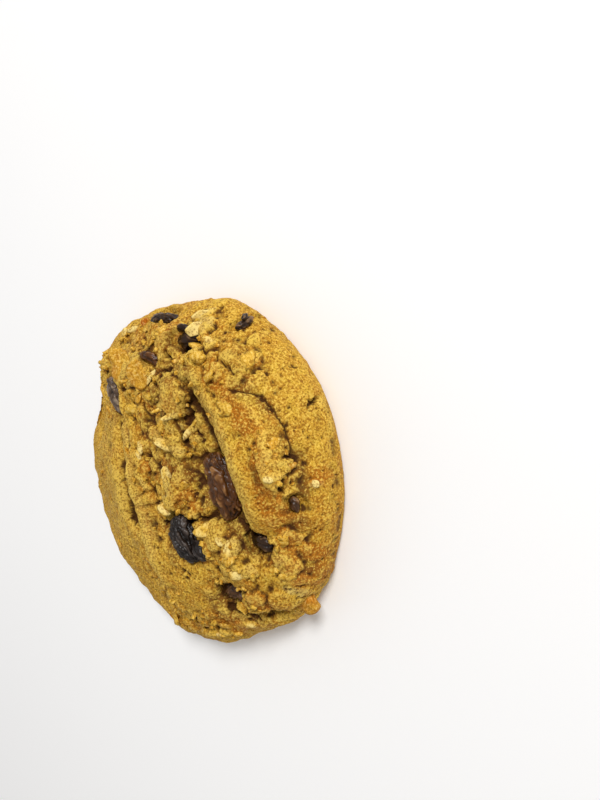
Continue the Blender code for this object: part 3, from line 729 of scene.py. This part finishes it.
def cutDepth(points, upper):
    # cracks, pits and fine pores, measured over the surface and not in plan
    values = crumbRelief
    ragged = np.clip(1.0 + 0.9 * noiseAt(points, 1.0, 11.0) + 0.5 * noiseAt(points, 0.5, 12.0), 0.35, 2.0)
    shallow = np.clip(1.0 + 1.1 * noiseAt(points, 2.2, 14.0), 0.15, 1.6)
    cut = np.zeros(len(points))
    for path, width, depth in cracks:
        places = placesOn(points, upper, path)
        low, high = places.min(0) - 3.0, places.max(0) + 3.0
        near = upper[np.all((points[upper] > low) & (points[upper] < high), 1)]
        gaps = np.linalg.norm(points[near][:, None] - places[None], axis=2).min(1)
        opening = np.exp(-((gaps * ragged[near] / width) ** 2))
        cut[near] = np.maximum(cut[near], depth * shallow[near] * opening)
    for centreX, centreY, reach, depth in pits:
        away = (points[upper, 0] - centreX) ** 2 + (points[upper, 1] - centreY) ** 2
        place = points[upper[np.argmin(away)]]
        gaps = np.linalg.norm(points[upper] - place, axis=1) * ragged[upper]
        cut[upper] = np.maximum(cut[upper], 0.7 * depth * np.exp(-((gaps / (0.7 * reach)) ** 2)))
    generator = np.random.default_rng(values["poreSeed"])
    reaches = generator.uniform(*values["poreReach"], values["poreCount"])
    depths = generator.uniform(*values["poreDepth"], values["poreCount"])
    chosen = generator.choice(upper, values["poreCount"], replace=False)
    for centre, reach, depth in zip(points[chosen], reaches, depths):
        near = np.flatnonzero(np.abs(points[:, 0] - centre[0]) < 3 * reach)
        gaps = np.sum((points[near] - centre) ** 2, 1)
        cut[near] = np.maximum(cut[near], depth * np.exp(-gaps / reach ** 2))
    return cut


def buildDough():
    points, faces, kinds = doughMesh()
    x, y = points[:, 0].copy(), points[:, 1].copy()
    fade = (kinds == 0).astype(float)
    footRing = kinds == 1
    fade[footRing] = ease(points[footRing, 2] / 2.5)
    upper = np.flatnonzero(kinds < 2)
    values = crumbRelief

    forms = np.zeros(len(points))
    forms[upper] = formHeight(x[upper], y[upper])
    points = points + pointNormals(points, faces) * (forms * fade)[:, None]
    normals = pointNormals(points, faces)
    crumb = crumbShare(x, y)

    sway = np.stack([noiseAt(points, 2.6, shift) for shift in (1.0, 21.0)], 1)
    flutter = np.stack([noiseAt(points, 0.9, shift) for shift in (5.0, 15.0)], 1)
    bentX, bentY = (points[:, :2] + values["sway"] * (sway + 0.8 * flutter)).T
    relief = (0.3 + 0.7 * crumb) * values["coarseRise"] * noiseAt(points, values["coarse"], 8.0)
    relief += (1.0 - crumb) * (values["smoothRise"] * noiseAt(points, values["smoothSpacing"], 6.0)
                               + values["rippleRise"] * noiseAt(points, values["ripple"], 2.0))
    mottle = noiseAt(points, values["mottle"], 31.0)
    relief += crumb * values["mottleRise"] * mottle
    before = relief.copy()
    tone = 0.5 - 0.16 * crumb
    bare = np.zeros(len(points))
    layPlates(relief, tone, bare, bentX, bentY, chancePlates())
    layPlates(relief, tone, bare, bentX, bentY, doughPlates, values["plateShare"])
    relief -= values["settle"] * smoothed(relief - before, faces, len(points), hollowRounds[-1])
    relief += values["grainRise"] * (0.7 + crumb) * noiseAt(points, values["grain"], 7.0)
    relief += values["fineGrainRise"] * noiseAt(points, values["fineGrain"], 9.0)

    cut = cutDepth(points + 0.3 * values["sway"] * np.pad(flutter, ((0, 0), (0, 1))), upper)
    wideX, wideY = (np.stack([x, y], 1) + 0.7 * sway + 0.35 * flutter).T
    sink, ring = socketDepth(wideX, wideY)
    sink[kinds == 2] = 0.0
    relief = relief * (1.0 - 0.5 * ease(sink / 0.5)) - cut - sink
    points = points + normals * (relief * fade)[:, None]

    onBase = kinds == 2
    points[onBase, 2] = baseDents * (1.0 + np.clip(noiseAt(points[onBase], 2.5), -1.0, 1.0))
    points[:, 2] = np.maximum(points[:, 2], 0.0)
    proud = np.maximum(points[:, 2] - tallest, 0.0)
    points[:, 2] += flattenedTo * np.tanh(proud / flattenedTo) - proud

    level = (relief + forms + sink) * fade
    fine, middle, wide = (smoothed(level, faces, len(points), rounds) - level for rounds in hollowRounds)
    # painted shade: darker in narrow, middling and wide hollows, in the mottle's low places, in cracks,
    # pits and pores, and in the ring round each raisin
    cavityShade = np.clip(1.7 * (fine - 0.02), 0.0, 0.4) + np.clip(0.7 * (middle - 0.05), 0.0, 0.4)
    cavityShade += np.clip(0.4 * (wide - 0.15), 0.0, 0.35)
    cavityShade += 0.3 * crumb * ease((-mottle - 0.12) / 0.3)
    cavityShade = np.clip(cavityShade + 0.4 * ease(cut / 0.9) + 0.3 * ring, 0.0, 1.0) * fade
    # painted highlight: lighter on the mottle's high places and where the surface stands above its
    # neighbours
    paleAndHighlight = 0.5 * crumb * ease((mottle - 0.15) / 0.3) - 1.6 * fine - 0.7 * middle - 0.04
    paleAndHighlight = np.clip(paleAndHighlight, 0.0, 0.8)
    # moist crumb and painted shade in the hollows and crevices, weaker where the tone is pale
    moistAndShade = spotShare(wideX, wideY, moistAndShadeSpots) * (1.0 - 0.5 * ease((tone - 0.6) / 0.3))

    piece = meshObject("oatDough", points, faces.tolist(), crustMaterial())
    flakeShare = np.clip(crumb * (1.0 - moistAndShade) * (1.0 - 0.9 * ring) * (sink < 0.05), 0.0, 1.0)
    outward = np.hypot(x, y) / outlineRadius(np.arctan2(y, x))
    flakeShare *= (kinds == 0) * (points[:, 2] < tallest - 0.5) * (1.0 - ease(bare))
    flakeShare *= 1.0 - ease((outward - 0.9) / 0.05)
    marks = {
        "tone": tone, "crumb": crumb * fade, "moistAndShade": moistAndShade * fade, "cavityShade": cavityShade,
        "dusty": spotShare(wideX, wideY, dustySpots) * fade, "paleAndHighlight": paleAndHighlight * fade,
        "toasted": spotShare(wideX, wideY, toastedSpots) * fade,
        "base": 1.0 - ease(points[:, 2] / 1.2), "flakeShare": flakeShare,
    }
    for name, values in marks.items():
        setMark(piece, name, values)
    print("dough:", len(faces), "triangles")
    return piece


# oat flakes and dough lumps that stand out one by one

oatLumps = [
    # x, y, lift, length, width, thickness, turn, tip, roll towards the front, tone
    (1.6, -10.6, 0.2, 5.4, 1.8, 0.9, 5, 0, 30, 0.92), (7.8, -11.6, 0.1, 6.4, 1.7, 0.9, 52, 0, 25, 0.88),
    (9.4, -16.2, 0.1, 3.8, 1.2, 0.8, -47, 0, 35, 0.95), (8.3, -2.3, 0.1, 2.8, 1.1, 0.7, 0, 0, 30, 1),
    (6.8, -1.2, 0.1, 2.4, 1, 0.7, 10, 0, 25, 0.9), (-4.6, -7.4, 0.1, 3, 2.2, 0.8, 30, 0, 40, 0.94),
    (-9.5, -16.6, 0.1, 4.8, 2.4, 0.8, 97, 4, 40, 0.82), (-11.8, -20, 0.2, 1.9, 1.1, 0.7, 30, 0, 30, 0.97),
    (-13.6, -21.2, 0.2, 3.6, 1.5, 0.8, -22, 0, 40, 0.97),
    (-18.4, -21.2, 0.1, 2.6, 3.4, 0.9, 10, 0, 35, 0.86), (13, -14.8, 0.2, 4.2, 1.1, 0.7, 92, 0, 40, 1),
    (14.9, -12.6, 0.2, 4.4, 0.8, 0.6, 95, 0, 40, 0.82),
    (21.6, -8.6, 0.1, 4.2, 1.2, 0.7, 130, 0, 30, 0.95), (28.4, -21, 0.1, 5, 2.6, 0.8, 95, 0, 48, 1),
    (31.2, -21, 0, 4.2, 1.6, 0.7, 95, 20, 48, 0.96), (25.2, -25.4, 0.1, 2.2, 1.3, 0.8, 60, 0, 40, 0.85),
    (34.2, 6.4, 0.1, 2.2, 2, 1.2, 0, 0, 0, 0.85), (34, 2.4, 0.2, 3.4, 1.3, 1, 90, 0, 10, 0.95),
    (34.8, -1, 0.1, 1.8, 1.8, 1.2, 0, 0, 0, 0.03), (23.2, 14.6, 0.2, 3, 1.4, 0.9, 20, 0, -20, 0.8),
    (22.4, 18.4, 0.3, 4.8, 1.8, 1.3, 10, 0, -25, 0.62), (18.6, 18, 0.2, 2.8, 1.6, 1.2, 30, 0, -25, 0.5),
    (-1.4, -35.6, 0.1, 1.8, 1.3, 0.7, 60, 0, 50, 1), (-4.5, -38.5, 0, 1.5, 1.4, 0.7, 0, 0, 60, 1),
    (-27.9, -27.3, -0.9, 6.2, 4.4, 2.6, 44, 4, 0, 0.3), (26.2, 2, 0.2, 8.2, 5.2, 1.2, 8, -8, 12, 0.52),
    (22.8, -6.3, 0.2, 6.4, 4.4, 1.2, 12, 4, 16, 0.46), (-31, -15.6, 0.1, 2.6, 1.6, 0.9, 80, -50, 10, 0.8),
    (-34.4, -4.6, 0.1, 3.2, 1.3, 0.9, 90, -60, 0, 0.82), (-34, -9.4, 0.1, 2.6, 1.3, 0.9, 90, -60, 0, 0.7),
]


def lumpMesh(seed, length, width, thickness):
    # a flat-topped, ragged-edged, slightly curled lump about the origin
    rings, sides = 9, 22
    polar, around = ballAngles(rings, sides)
    up = np.sign(np.cos(polar)) * np.abs(np.cos(polar)) ** 0.55 + 0 * around
    out = np.sin(polar) ** 0.7 + 0 * around
    ball = np.stack([out * np.cos(around), out * np.sin(around), up], -1).reshape(-1, 3)
    ball = np.concatenate([[[0.0, 0.0, 1.0]], ball, [[0.0, 0.0, -1.0]]])
    edge = 1.0 + 0.22 * noiseAt(ball * (1.0, 1.0, 0.2), 0.7, 3.7 * seed)
    shape = ball * np.stack([edge, edge, np.ones_like(edge)], 1)
    shape = shape * (0.5 * length, 0.5 * width, 0.5 * thickness)
    curl = noiseAt(shape * (1, 1, 0), 2.4, seed) + 0.6 * noiseAt(shape, 1.1, seed + 5.0)
    shape[:, 2] += 0.10 * length * curl
    shape += 0.14 * np.stack([noiseAt(shape, 0.8, seed + shift) for shift in (2.0, 4.0, 6.0)], 1)
    return shape, ballFaces(rings, sides)


def buildLumps(dough, material):
    # every lump sits on the dough under it, tipped as the list says
    tree = BVHTree.FromObject(dough, bpy.context.evaluated_depsgraph_get())
    parts = []
    for seed, (x, y, lift, length, width, thickness, turn, tip, roll, tone) in enumerate(oatLumps):
        hit = tree.ray_cast(Vector((x * mm, y * mm, 0.05)), Vector((0, 0, -1)))[0]
        if hit is None:
            continue
        shape, faces = lumpMesh(seed, length, width, thickness)
        turned = Matrix.Rotation(math.radians(roll), 3, "X")
        turned = turned @ Matrix.Rotation(math.radians(-tip), 3, "Y")
        turned = turned @ Matrix.Rotation(math.radians(turn), 3, "Z")
        shape = shape @ np.array(turned).T + np.array(hit) / mm + (0.0, 0.0, lift - 0.15)
        shape[:, 2] -= max(0.0, shape[:, 2].max() - tallest - 0.9)
        parts.append((shape, faces, np.clip(tone + 0.3 * noiseAt(shape, 1.4, seed), 0.0, 1.0)))
    piece = joinedObject("oatLumps", parts, "tone", material)
    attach(piece, "root")
    print("lumps:", len(piece.data.polygons), "triangles")
    return piece


# loose oat flakes and crumbs baked into the torn crust

scatterings = {
    "oatFlakes": {
        "Spacing": 4.4 * mm, "Length": 3.2 * mm, "Width": 2.3 * mm, "Thickness": 0.6 * mm,
        "Ruggedness": 0.42, "Tilt": 0.35, "Sink": 0.4 * mm, "Seed": 3,
    },
    "oatCrumbs": {
        "Spacing": 2.2 * mm, "Length": 1.2 * mm, "Width": 1.0 * mm, "Thickness": 0.8 * mm,
        "Ruggedness": 0.6, "Tilt": 1.5, "Sink": 0.3 * mm, "Seed": 8,
    },
}


oatFinish = {
    "tones": [(0.0, "#B86208"), (0.14, "#C47A12"), (0.3, "#B88026"), (0.5, "#D09A2C"),
              (0.75, "#DCB040"), (1.0, "#EAD080")],
    "speck": "#8A5812",
    # the oats use this only for pale grain
    "paleAndHighlight": "#F2D684",
    "grain": 0.5,
    "roughness": 0.7,
}


def oatMaterial():
    # rolled oats held in dough: straw coloured, toasted at the tips, matt with a dusty grain
    finish = oatFinish
    material, tree = newMaterial("toasted rolled oats")
    place = addNode(tree, "ShaderNodeTexCoord").outputs["Object"]
    tone = addNode(tree, "ShaderNodeAttribute", {"attribute_name": "tone"}).outputs["Fac"]
    grain = addNode(tree, "ShaderNodeTexNoise", links={"Vector": place},
                    values={"Scale": 1.0 / (finish["grain"] * mm), "Detail": 3.0, "Roughness": 0.7})
    grain = grain.outputs["Fac"]
    colour = layeredColour(tree, finish, tone, [
        ("speck", grain, 0.5, 0.62, 0.7), ("paleAndHighlight", grain, 0.48, 0.36, 0.5)])
    bump = addNode(tree, "ShaderNodeBump", values={"Strength": 0.7, "Distance": 0.25 * mm},
                   links={"Height": grain})
    shader = addNode(tree, "ShaderNodeBsdfPrincipled",
                     values={"Roughness": finish["roughness"], "Specular IOR Level": 0.15},
                     links={"Base Color": colour, "Normal": bump.outputs[0]})
    finishMaterial(tree, shader)
    return material


def scatterTree(name, values, material):
    # lumps of four shapes over the dough where its flakeShare says, turned and sized by chance
    tree = bpy.data.node_groups.new(name, "GeometryNodeTree")
    tree.interface.new_socket("Geometry", in_out="INPUT", socket_type="NodeSocketGeometry")
    for label in values:
        kind = "NodeSocketInt" if label == "Seed" else "NodeSocketFloat"
        tree.interface.new_socket(label, in_out="INPUT", socket_type=kind)
    tree.interface.new_socket("Geometry", in_out="OUTPUT", socket_type="NodeSocketGeometry")
    given = addNode(tree, "NodeGroupInput").outputs
    size = addNode(tree, "ShaderNodeCombineXYZ",
                   links={"X": given["Length"], "Y": given["Width"], "Z": given["Thickness"]})
    place = addNode(tree, "GeometryNodeInputPosition")
    shapes = addNode(tree, "GeometryNodeJoinGeometry")
    for number in range(4):
        ball = addNode(tree, "GeometryNodeMeshIcoSphere", values={"Radius": 0.5, "Subdivisions": 2})
        moved = addNode(tree, "ShaderNodeVectorMath", {"operation": "ADD"},
                        {1: (7.0 * number, 0.0, 3.0 * number)}, {0: place.outputs[0]})
        rough = addNode(tree, "ShaderNodeTexNoise", values={"Scale": 2.2, "Detail": 1.0},
                        links={"Vector": moved.outputs[0]})
        centred = addNode(tree, "ShaderNodeVectorMath", {"operation": "SUBTRACT"}, {1: (0.5, 0.5, 0.5)},
                          {0: rough.outputs["Color"]})
        pushed = addNode(tree, "ShaderNodeVectorMath", {"operation": "SCALE"},
                         links={0: centred.outputs[0], "Scale": given["Ruggedness"]})
        summed = addNode(tree, "ShaderNodeVectorMath", {"operation": "MULTIPLY_ADD"}, {1: (2.0, 2.0, 2.0)},
                         {0: pushed.outputs[0], 2: place.outputs[0]})
        sized = addNode(tree, "ShaderNodeVectorMath", {"operation": "MULTIPLY"},
                        links={0: summed.outputs[0], 1: size.outputs[0]})
        shaped = addNode(tree, "GeometryNodeSetPosition",
                         links={"Geometry": ball.outputs["Mesh"], "Position": sized.outputs[0]})
        single = addNode(tree, "GeometryNodeGeometryToInstance", links={"Geometry": shaped.outputs[0]})
        tree.links.new(single.outputs[0], shapes.inputs[0])
    share = addNode(tree, "GeometryNodeInputNamedAttribute", {"data_type": "FLOAT"}, {"Name": "flakeShare"})
    spots = addNode(tree, "GeometryNodeDistributePointsOnFaces", {"distribute_method": "POISSON"},
                    {"Density Max": 3.0e6},
                    {"Mesh": given["Geometry"], "Distance Min": given["Spacing"],
                     "Density Factor": share.outputs["Attribute"], "Seed": given["Seed"]})
    lower = addNode(tree, "ShaderNodeMath", {"operation": "MULTIPLY"}, {1: -1.0}, {0: given["Sink"]})
    depth = addNode(tree, "FunctionNodeRandomValue", {"data_type": "FLOAT"}, links={
        2: lower.outputs[0], 3: given["Sink"], "Seed": given["Seed"]})
    offset = addNode(tree, "ShaderNodeVectorMath", {"operation": "SCALE"},
                     links={0: spots.outputs["Normal"], "Scale": depth.outputs[1]})
    seated = addNode(tree, "GeometryNodeSetPosition",
                     links={"Geometry": spots.outputs["Points"], "Offset": offset.outputs[0]})
    untilt = addNode(tree, "ShaderNodeMath", {"operation": "MULTIPLY"}, {1: -1.0}, {0: given["Tilt"]})
    least = addNode(tree, "ShaderNodeCombineXYZ", values={"Z": 0.0},
                    links={"X": untilt.outputs[0], "Y": untilt.outputs[0]})
    most = addNode(tree, "ShaderNodeCombineXYZ", values={"Z": tau},
                   links={"X": given["Tilt"], "Y": given["Tilt"]})
    turn = addNode(tree, "FunctionNodeRandomValue", {"data_type": "FLOAT_VECTOR"}, links={
        0: least.outputs[0], 1: most.outputs[0], "Seed": given["Seed"]})
    turned = addNode(tree, "FunctionNodeRotateRotation", {"rotation_space": "LOCAL"},
                     links={"Rotation": spots.outputs["Rotation"], "Rotate By": turn.outputs[0]})
    scale = addNode(tree, "FunctionNodeRandomValue", {"data_type": "FLOAT"}, {2: 0.55, 3: 1.25},
                    {"Seed": given["Seed"]})
    laid = addNode(tree, "GeometryNodeInstanceOnPoints", {}, {"Pick Instance": True}, {
        "Points": seated.outputs[0], "Instance": shapes.outputs[0], "Rotation": turned.outputs[0],
        "Scale": scale.outputs[1]})
    tone = addNode(tree, "FunctionNodeRandomValue", {"data_type": "FLOAT"}, {2: 0.26, 3: 0.76},
                   {"Seed": given["Seed"]})
    toned = addNode(tree, "GeometryNodeStoreNamedAttribute", {"data_type": "FLOAT", "domain": "INSTANCE"},
                    {"Name": "tone"}, {"Geometry": laid.outputs[0], "Value": tone.outputs[1]})
    solid = addNode(tree, "GeometryNodeRealizeInstances", links={"Geometry": toned.outputs[0]})
    smooth = addNode(tree, "GeometryNodeSetShadeSmooth", links={"Geometry": solid.outputs[0]})
    finished = addNode(tree, "GeometryNodeSetMaterial", values={"Material": material},
                       links={"Geometry": smooth.outputs[0]})
    addNode(tree, "NodeGroupOutput", links={"Geometry": finished.outputs[0]})
    return tree


def scatterOver(dough, name, material):
    values = scatterings[name]
    tree = scatterTree(name, values, material)
    carrier = bpy.data.objects.new(name + "Carrier", dough.data)
    scene.collection.objects.link(carrier)
    modifier = carrier.modifiers.new(name, "NODES")
    modifier.node_group = tree
    for socket in tree.interface.items_tree:
        if socket.in_out == "INPUT" and socket.name in values:
            modifier[socket.identifier] = values[socket.name]
    view = bpy.context.evaluated_depsgraph_get()
    data = bpy.data.meshes.new_from_object(carrier.evaluated_get(view))
    bpy.data.objects.remove(carrier)
    data.name = name
    piece = bpy.data.objects.new(name, data)
    scene.collection.objects.link(piece)
    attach(piece, "root")
    data.calc_loop_triangles()
    print(name + ":", len(data.loop_triangles), "triangles")
    return piece


# raisins: wrinkled, flattened berries in the sockets that the frame gives

raisinShapes = {
    # node: plan x, y, length, width, thickness, turn, tip, roll
    "raisin_large": (-11.4, -10.6, 11.5, 8, 6, 160, 4, -8),
    "raisin_by_ridge": (-1.8, -22.4, 14, 7.6, 5.6, 4, -3, 20),
    "raisin_in_hole": (-24.6, -15.4, 8.4, 7, 5.6, 35, 0, 24),
    "raisin_at_rim": (33.4, -8.4, 10.4, 4.4, 4, 99, 0, -48),
    "raisin_in_hollow": (26, -19.4, 8.2, 4.4, 4, 62, -6, -24),
    "raisin_sliver": (27.2, -30.2, 6.2, 2.8, 2.8, -20, 58, 10),
    "raisin_far_side": (21, 8.6, 9.6, 5.2, 4.4, 4, -10, 20),
    "raisin_flat": (24.6, -8.6, 6.4, 3.8, 3, 58, -12, -10),
    "raisin_in_crack": (-7.4, -34.4, 4.8, 3.2, 3.2, 20, 0, 40),
    "raisin_under_lobe": (-13.2, -26.6, 5.6, 4, 3.6, 70, 0, 34),
}
raisinShifts = {
    # how far the skin lies from the middle of its socket, and its own turn
    "raisin_large": ((0.5, 1.3, 0.0), 188), "raisin_in_hole": ((0.3, 0.7, 0.0), 100),
    "raisin_at_rim": ((0.5, 0.0, 0.1), 80), "raisin_in_hollow": ((1.4, 1.8, -0.5), 70),
    "raisin_flat": ((1.2, 0.0, 0.1), 58), "raisin_in_crack": ((0.3, -1.0, 0.1), 20),
    "raisin_under_lobe": ((-0.4, -0.2, -1.1), 62), "raisin_sliver": ((0.6, 0.8, 0.1), -46),
}
raisinLobes = {
    # smaller folded ends on the same fruit: x, y from its middle, lift, length, width, thickness, turn
    "raisin_large": [(-2.6, -3.4, 0.0, 5.4, 3.8, 3.2, 50), (1.6, 1.0, 0.5, 6.0, 2.6, 2.6, 200)],
    "raisin_in_hollow": [(-0.4, -3.4, -0.1, 8.2, 1.5, 1.5, 56), (2.8, 0.2, 0.4, 4.2, 1.8, 1.6, 80)],
    "raisin_in_hole": [(1.9, -2.2, -0.2, 4.0, 3.0, 2.8, 60), (-1.6, -1.8, 0.2, 3.6, 2.8, 2.6, 10),
                       (-0.2, 2.2, 0.0, 3.6, 2.6, 2.4, 120)],
    "raisin_flat": [(-2.0, -1.8, 0.1, 3.6, 1.5, 1.2, 40)],
    "raisin_sliver": [(1.2, -0.4, 0.0, 3.0, 1.4, 1.4, 40)],
}
raisinSizes = {
    # the drawn skin where it shows smaller than its socket: length, width, thickness
    "raisin_large": (10.8, 6.4, 5.6), "raisin_in_hole": (5.6, 4.8, 4.4),
    "raisin_at_rim": (9.8, 3.4, 3.2), "raisin_in_hollow": (5.6, 4.0, 3.4),
    "raisin_in_crack": (3.4, 2.4, 2.4), "raisin_sliver": (4.8, 2.0, 2.0), "raisin_flat": (5.6, 3.0, 2.4),
}
# each tone: body colour, bloom with a painted highlight on the folds' tops, and painted shade in the folds'
# troughs
raisinFinish = {
    "black": ("#241A15", "#4E433C", "#070402"),
    "tawny": ("#54351A", "#92704A", "#1C0E05"),
    "maroon": ("#58320F", "#94683A", "#1E0C03"),
    "brown": ("#34200F", "#80603E", "#100702"),
    "greyish": ("#5E4A3A", "#9A866C", "#1C120C"),
    "roughness": 0.34,
}
raisinTones = {"raisin_by_ridge": "maroon", "raisin_far_side": "greyish", "raisin_flat": "maroon",
               "raisin_in_hole": "tawny", "raisin_in_crack": "tawny", "raisin_sliver": "brown",
               "raisin_at_rim": "brown", "raisin_in_hollow": "brown", "raisin_under_lobe": "brown"}


def raisinMaterial(tone):
    # dried grape skin: thin, folded, half glossy, with a dull bloom that also paints a highlight on the
    # folds' tops, and painted shade in their troughs
    body, bloomAndHighlight, fold = (fromHex(text) for text in raisinFinish[tone])
    material, tree = newMaterial("raisin skin " + tone)
    place = addNode(tree, "ShaderNodeTexCoord").outputs["Object"]
    height = addNode(tree, "ShaderNodeAttribute", {"attribute_name": "fold"}).outputs["Fac"]
    # the darkest colour is painted shade in the folds' troughs, the bloom a painted highlight on their
    # crests
    ramp = addNode(tree, "ShaderNodeValToRGB", links={"Fac": height})
    ramp.color_ramp.elements[0].color = fold
    ramp.color_ramp.elements[0].position = 0.1
    ramp.color_ramp.elements[1].color = bloomAndHighlight
    ramp.color_ramp.elements[1].position = 0.97
    middle = ramp.color_ramp.elements.new(0.7)
    middle.color = body
    grain = addNode(tree, "ShaderNodeTexNoise", values={"Scale": 1.0 / (0.5 * mm), "Detail": 4.0},
                    links={"Vector": place}).outputs["Fac"]
    bump = addNode(tree, "ShaderNodeBump", values={"Strength": 0.45, "Distance": 0.15 * mm},
                   links={"Height": grain})
    shader = addNode(tree, "ShaderNodeBsdfPrincipled",
                     values={"Roughness": raisinFinish["roughness"], "Specular IOR Level": 0.3},
                     links={"Base Color": ramp.outputs["Color"], "Normal": bump.outputs[0]})
    finishMaterial(tree, shader)
    return material


def foldedBall(length, width, thickness, seed):
    # an ellipsoid drawn in along folds that run its length, then split and join
    rings, sides = (84, 110) if length > 8.0 else (50, 64)
    polar, around = ballAngles(rings, sides)
    along = np.cos(polar) + 0 * around
    waist = np.sin(polar) + 0 * around
    ball = np.stack([along, waist * np.cos(around), waist * np.sin(around)], -1).reshape(-1, 3)
    ball = np.concatenate([[[1.0, 0.0, 0.0]], ball, [[-1.0, 0.0, 0.0]]])
    half = 0.5 * np.array([length, width, thickness])
    skin = ball * half
    warp = np.stack([noiseAt(skin, 2.6, seed + shift) for shift in (3.0, 6.0, 9.0)], 1)
    drawn = (skin + 1.1 * warp) * (0.36, 1.0, 1.0)
    broad = np.clip(2.4 * np.abs(noiseAt(drawn, 1.8, seed)), 0.0, 1.0) ** 0.8
    narrow = np.clip(2.4 * np.abs(noiseAt(drawn, 0.85, seed + 1.0)), 0.0, 1.0) ** 0.8
    crinkle = np.clip(2.2 * np.abs(noiseAt(skin, 0.8, seed + 2.0)), 0.0, 1.0)
    fold = 0.46 * broad + 0.36 * narrow + 0.18 * crinkle
    depth = 0.12 * (width + thickness)
    pull = 1.0 - (depth * (1.0 - fold) - 0.25 * warp[:, 0]) / np.linalg.norm(half[1:])
    shape = skin * np.stack([1.0 - 0.4 * (1.0 - pull), pull, pull], 1)
    shape[:, 1] += 0.07 * length * (ball[:, 0] ** 2 - 0.4)
    return shape, ballFaces(rings, sides), fold


def buildRaisin(node, materials):
    planX, _, *size, plainTurn, tip, roll = raisinShapes[node]
    low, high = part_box(node)
    centre = 0.5 * (np.array(low) + np.array(high)) / mm
    shift, turn = raisinShifts.get(node, ((0.0, 0.0, 0.0), plainTurn))
    bodies = [(0.0, 0.0, 0.0, *raisinSizes.get(node, size), turn)] + raisinLobes.get(node, [])
    parts = []
    for number, (offX, offY, lift, length, width, thickness, direction) in enumerate(bodies):
        shape, faces, fold = foldedBall(length, width, thickness, 1.7 * planX + 5.0 * number)
        turned = Euler([math.radians(angle) for angle in (roll, tip, direction)], "XYZ").to_matrix()
        shape = shape @ np.array(turned).T + centre + np.array(shift) + (offX, offY, lift)
        parts.append((shape, faces, fold))
    name = "".join(word.capitalize() for word in node.split("_")[1:])
    piece = joinedObject("raisin" + name, parts, "fold", materials[raisinTones.get(node, "black")])
    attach(piece, "root")
    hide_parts(node)
    return piece


# camera, light and floor

cameraView = {
    # place in millimetres; it looks down by 52 degrees, with the plan's x running up the picture
    "place": (10.68, -105.62, 93.26),
    "forward": (0.0, 0.6213, -0.7836),
    "up": (0.9755, -0.1723, -0.1366),
    "lens": 27.0,
}
studio = {
    # how far each light stands from the cookie, its size in metres and its power in watts
    "key": ((0.45, -0.51, 0.57), 0.24, 6.2),
    "fill": ((0.05, 0.40, 0.30), 0.4, 0.2),
    "ambient": 0.45,
    "floor": "#FDFCFB",
}


def addCamera():
    forward = Vector(cameraView["forward"]).normalized()
    right = forward.cross(Vector(cameraView["up"])).normalized()
    up = right.cross(forward)
    data = bpy.data.cameras.new("camera")
    data.lens = cameraView["lens"]
    data.clip_start = 0.005
    camera = bpy.data.objects.new("camera", data)
    camera.matrix_world = Matrix.Translation(Vector(cameraView["place"]) * mm) @ Matrix(
        (right, up, -forward)).transposed().to_4x4()
    scene.collection.objects.link(camera)
    scene.camera = camera


def addLight(name, place, size, power):
    data = bpy.data.lights.new(name, "AREA")
    data.size = size
    data.energy = power
    light = bpy.data.objects.new(name, data)
    aim = (Vector((0.0, 0.0, 0.01)) - Vector(place)).to_track_quat("-Z", "Y")
    light.matrix_world = Matrix.Translation(place) @ aim.to_matrix().to_4x4()
    scene.collection.objects.link(light)


def addStudio():
    for name in ("key", "fill"):
        addLight(name, *studio[name])
    world = bpy.data.worlds.new("soft room")
    world.use_nodes = True
    sky = world.node_tree.nodes["Background"]
    sky.inputs["Color"].default_value = (1.0, 1.0, 1.0, 1.0)
    sky.inputs["Strength"].default_value = studio["ambient"]
    scene.world = world
    scene.view_settings.view_transform = "Standard"
    material, tree = newMaterial("matt white board")
    finishMaterial(tree, addNode(tree, "ShaderNodeBsdfPrincipled",
                                 values={"Base Color": fromHex(studio["floor"]), "Roughness": 0.7}))
    half = 1500.0
    corners = [(-half, -half, -0.05), (half, -half, -0.05), (half, half, -0.05), (-half, half, -0.05)]
    floor = meshObject("floor", corners, [(0, 1, 2, 3)], material)


addCamera()
addStudio()
dough = buildDough()
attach(dough, "root")
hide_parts("cookie")
skins = {tone: raisinMaterial(tone) for tone in ("black", "maroon", "brown", "tawny", "greyish")}
for nodeName in raisinShapes:
    buildRaisin(nodeName, skins)
oats = oatMaterial()
buildLumps(dough, oats)
for name in scatterings:
    scatterOver(dough, name, oats)
print("raisins:", len(raisinShapes))
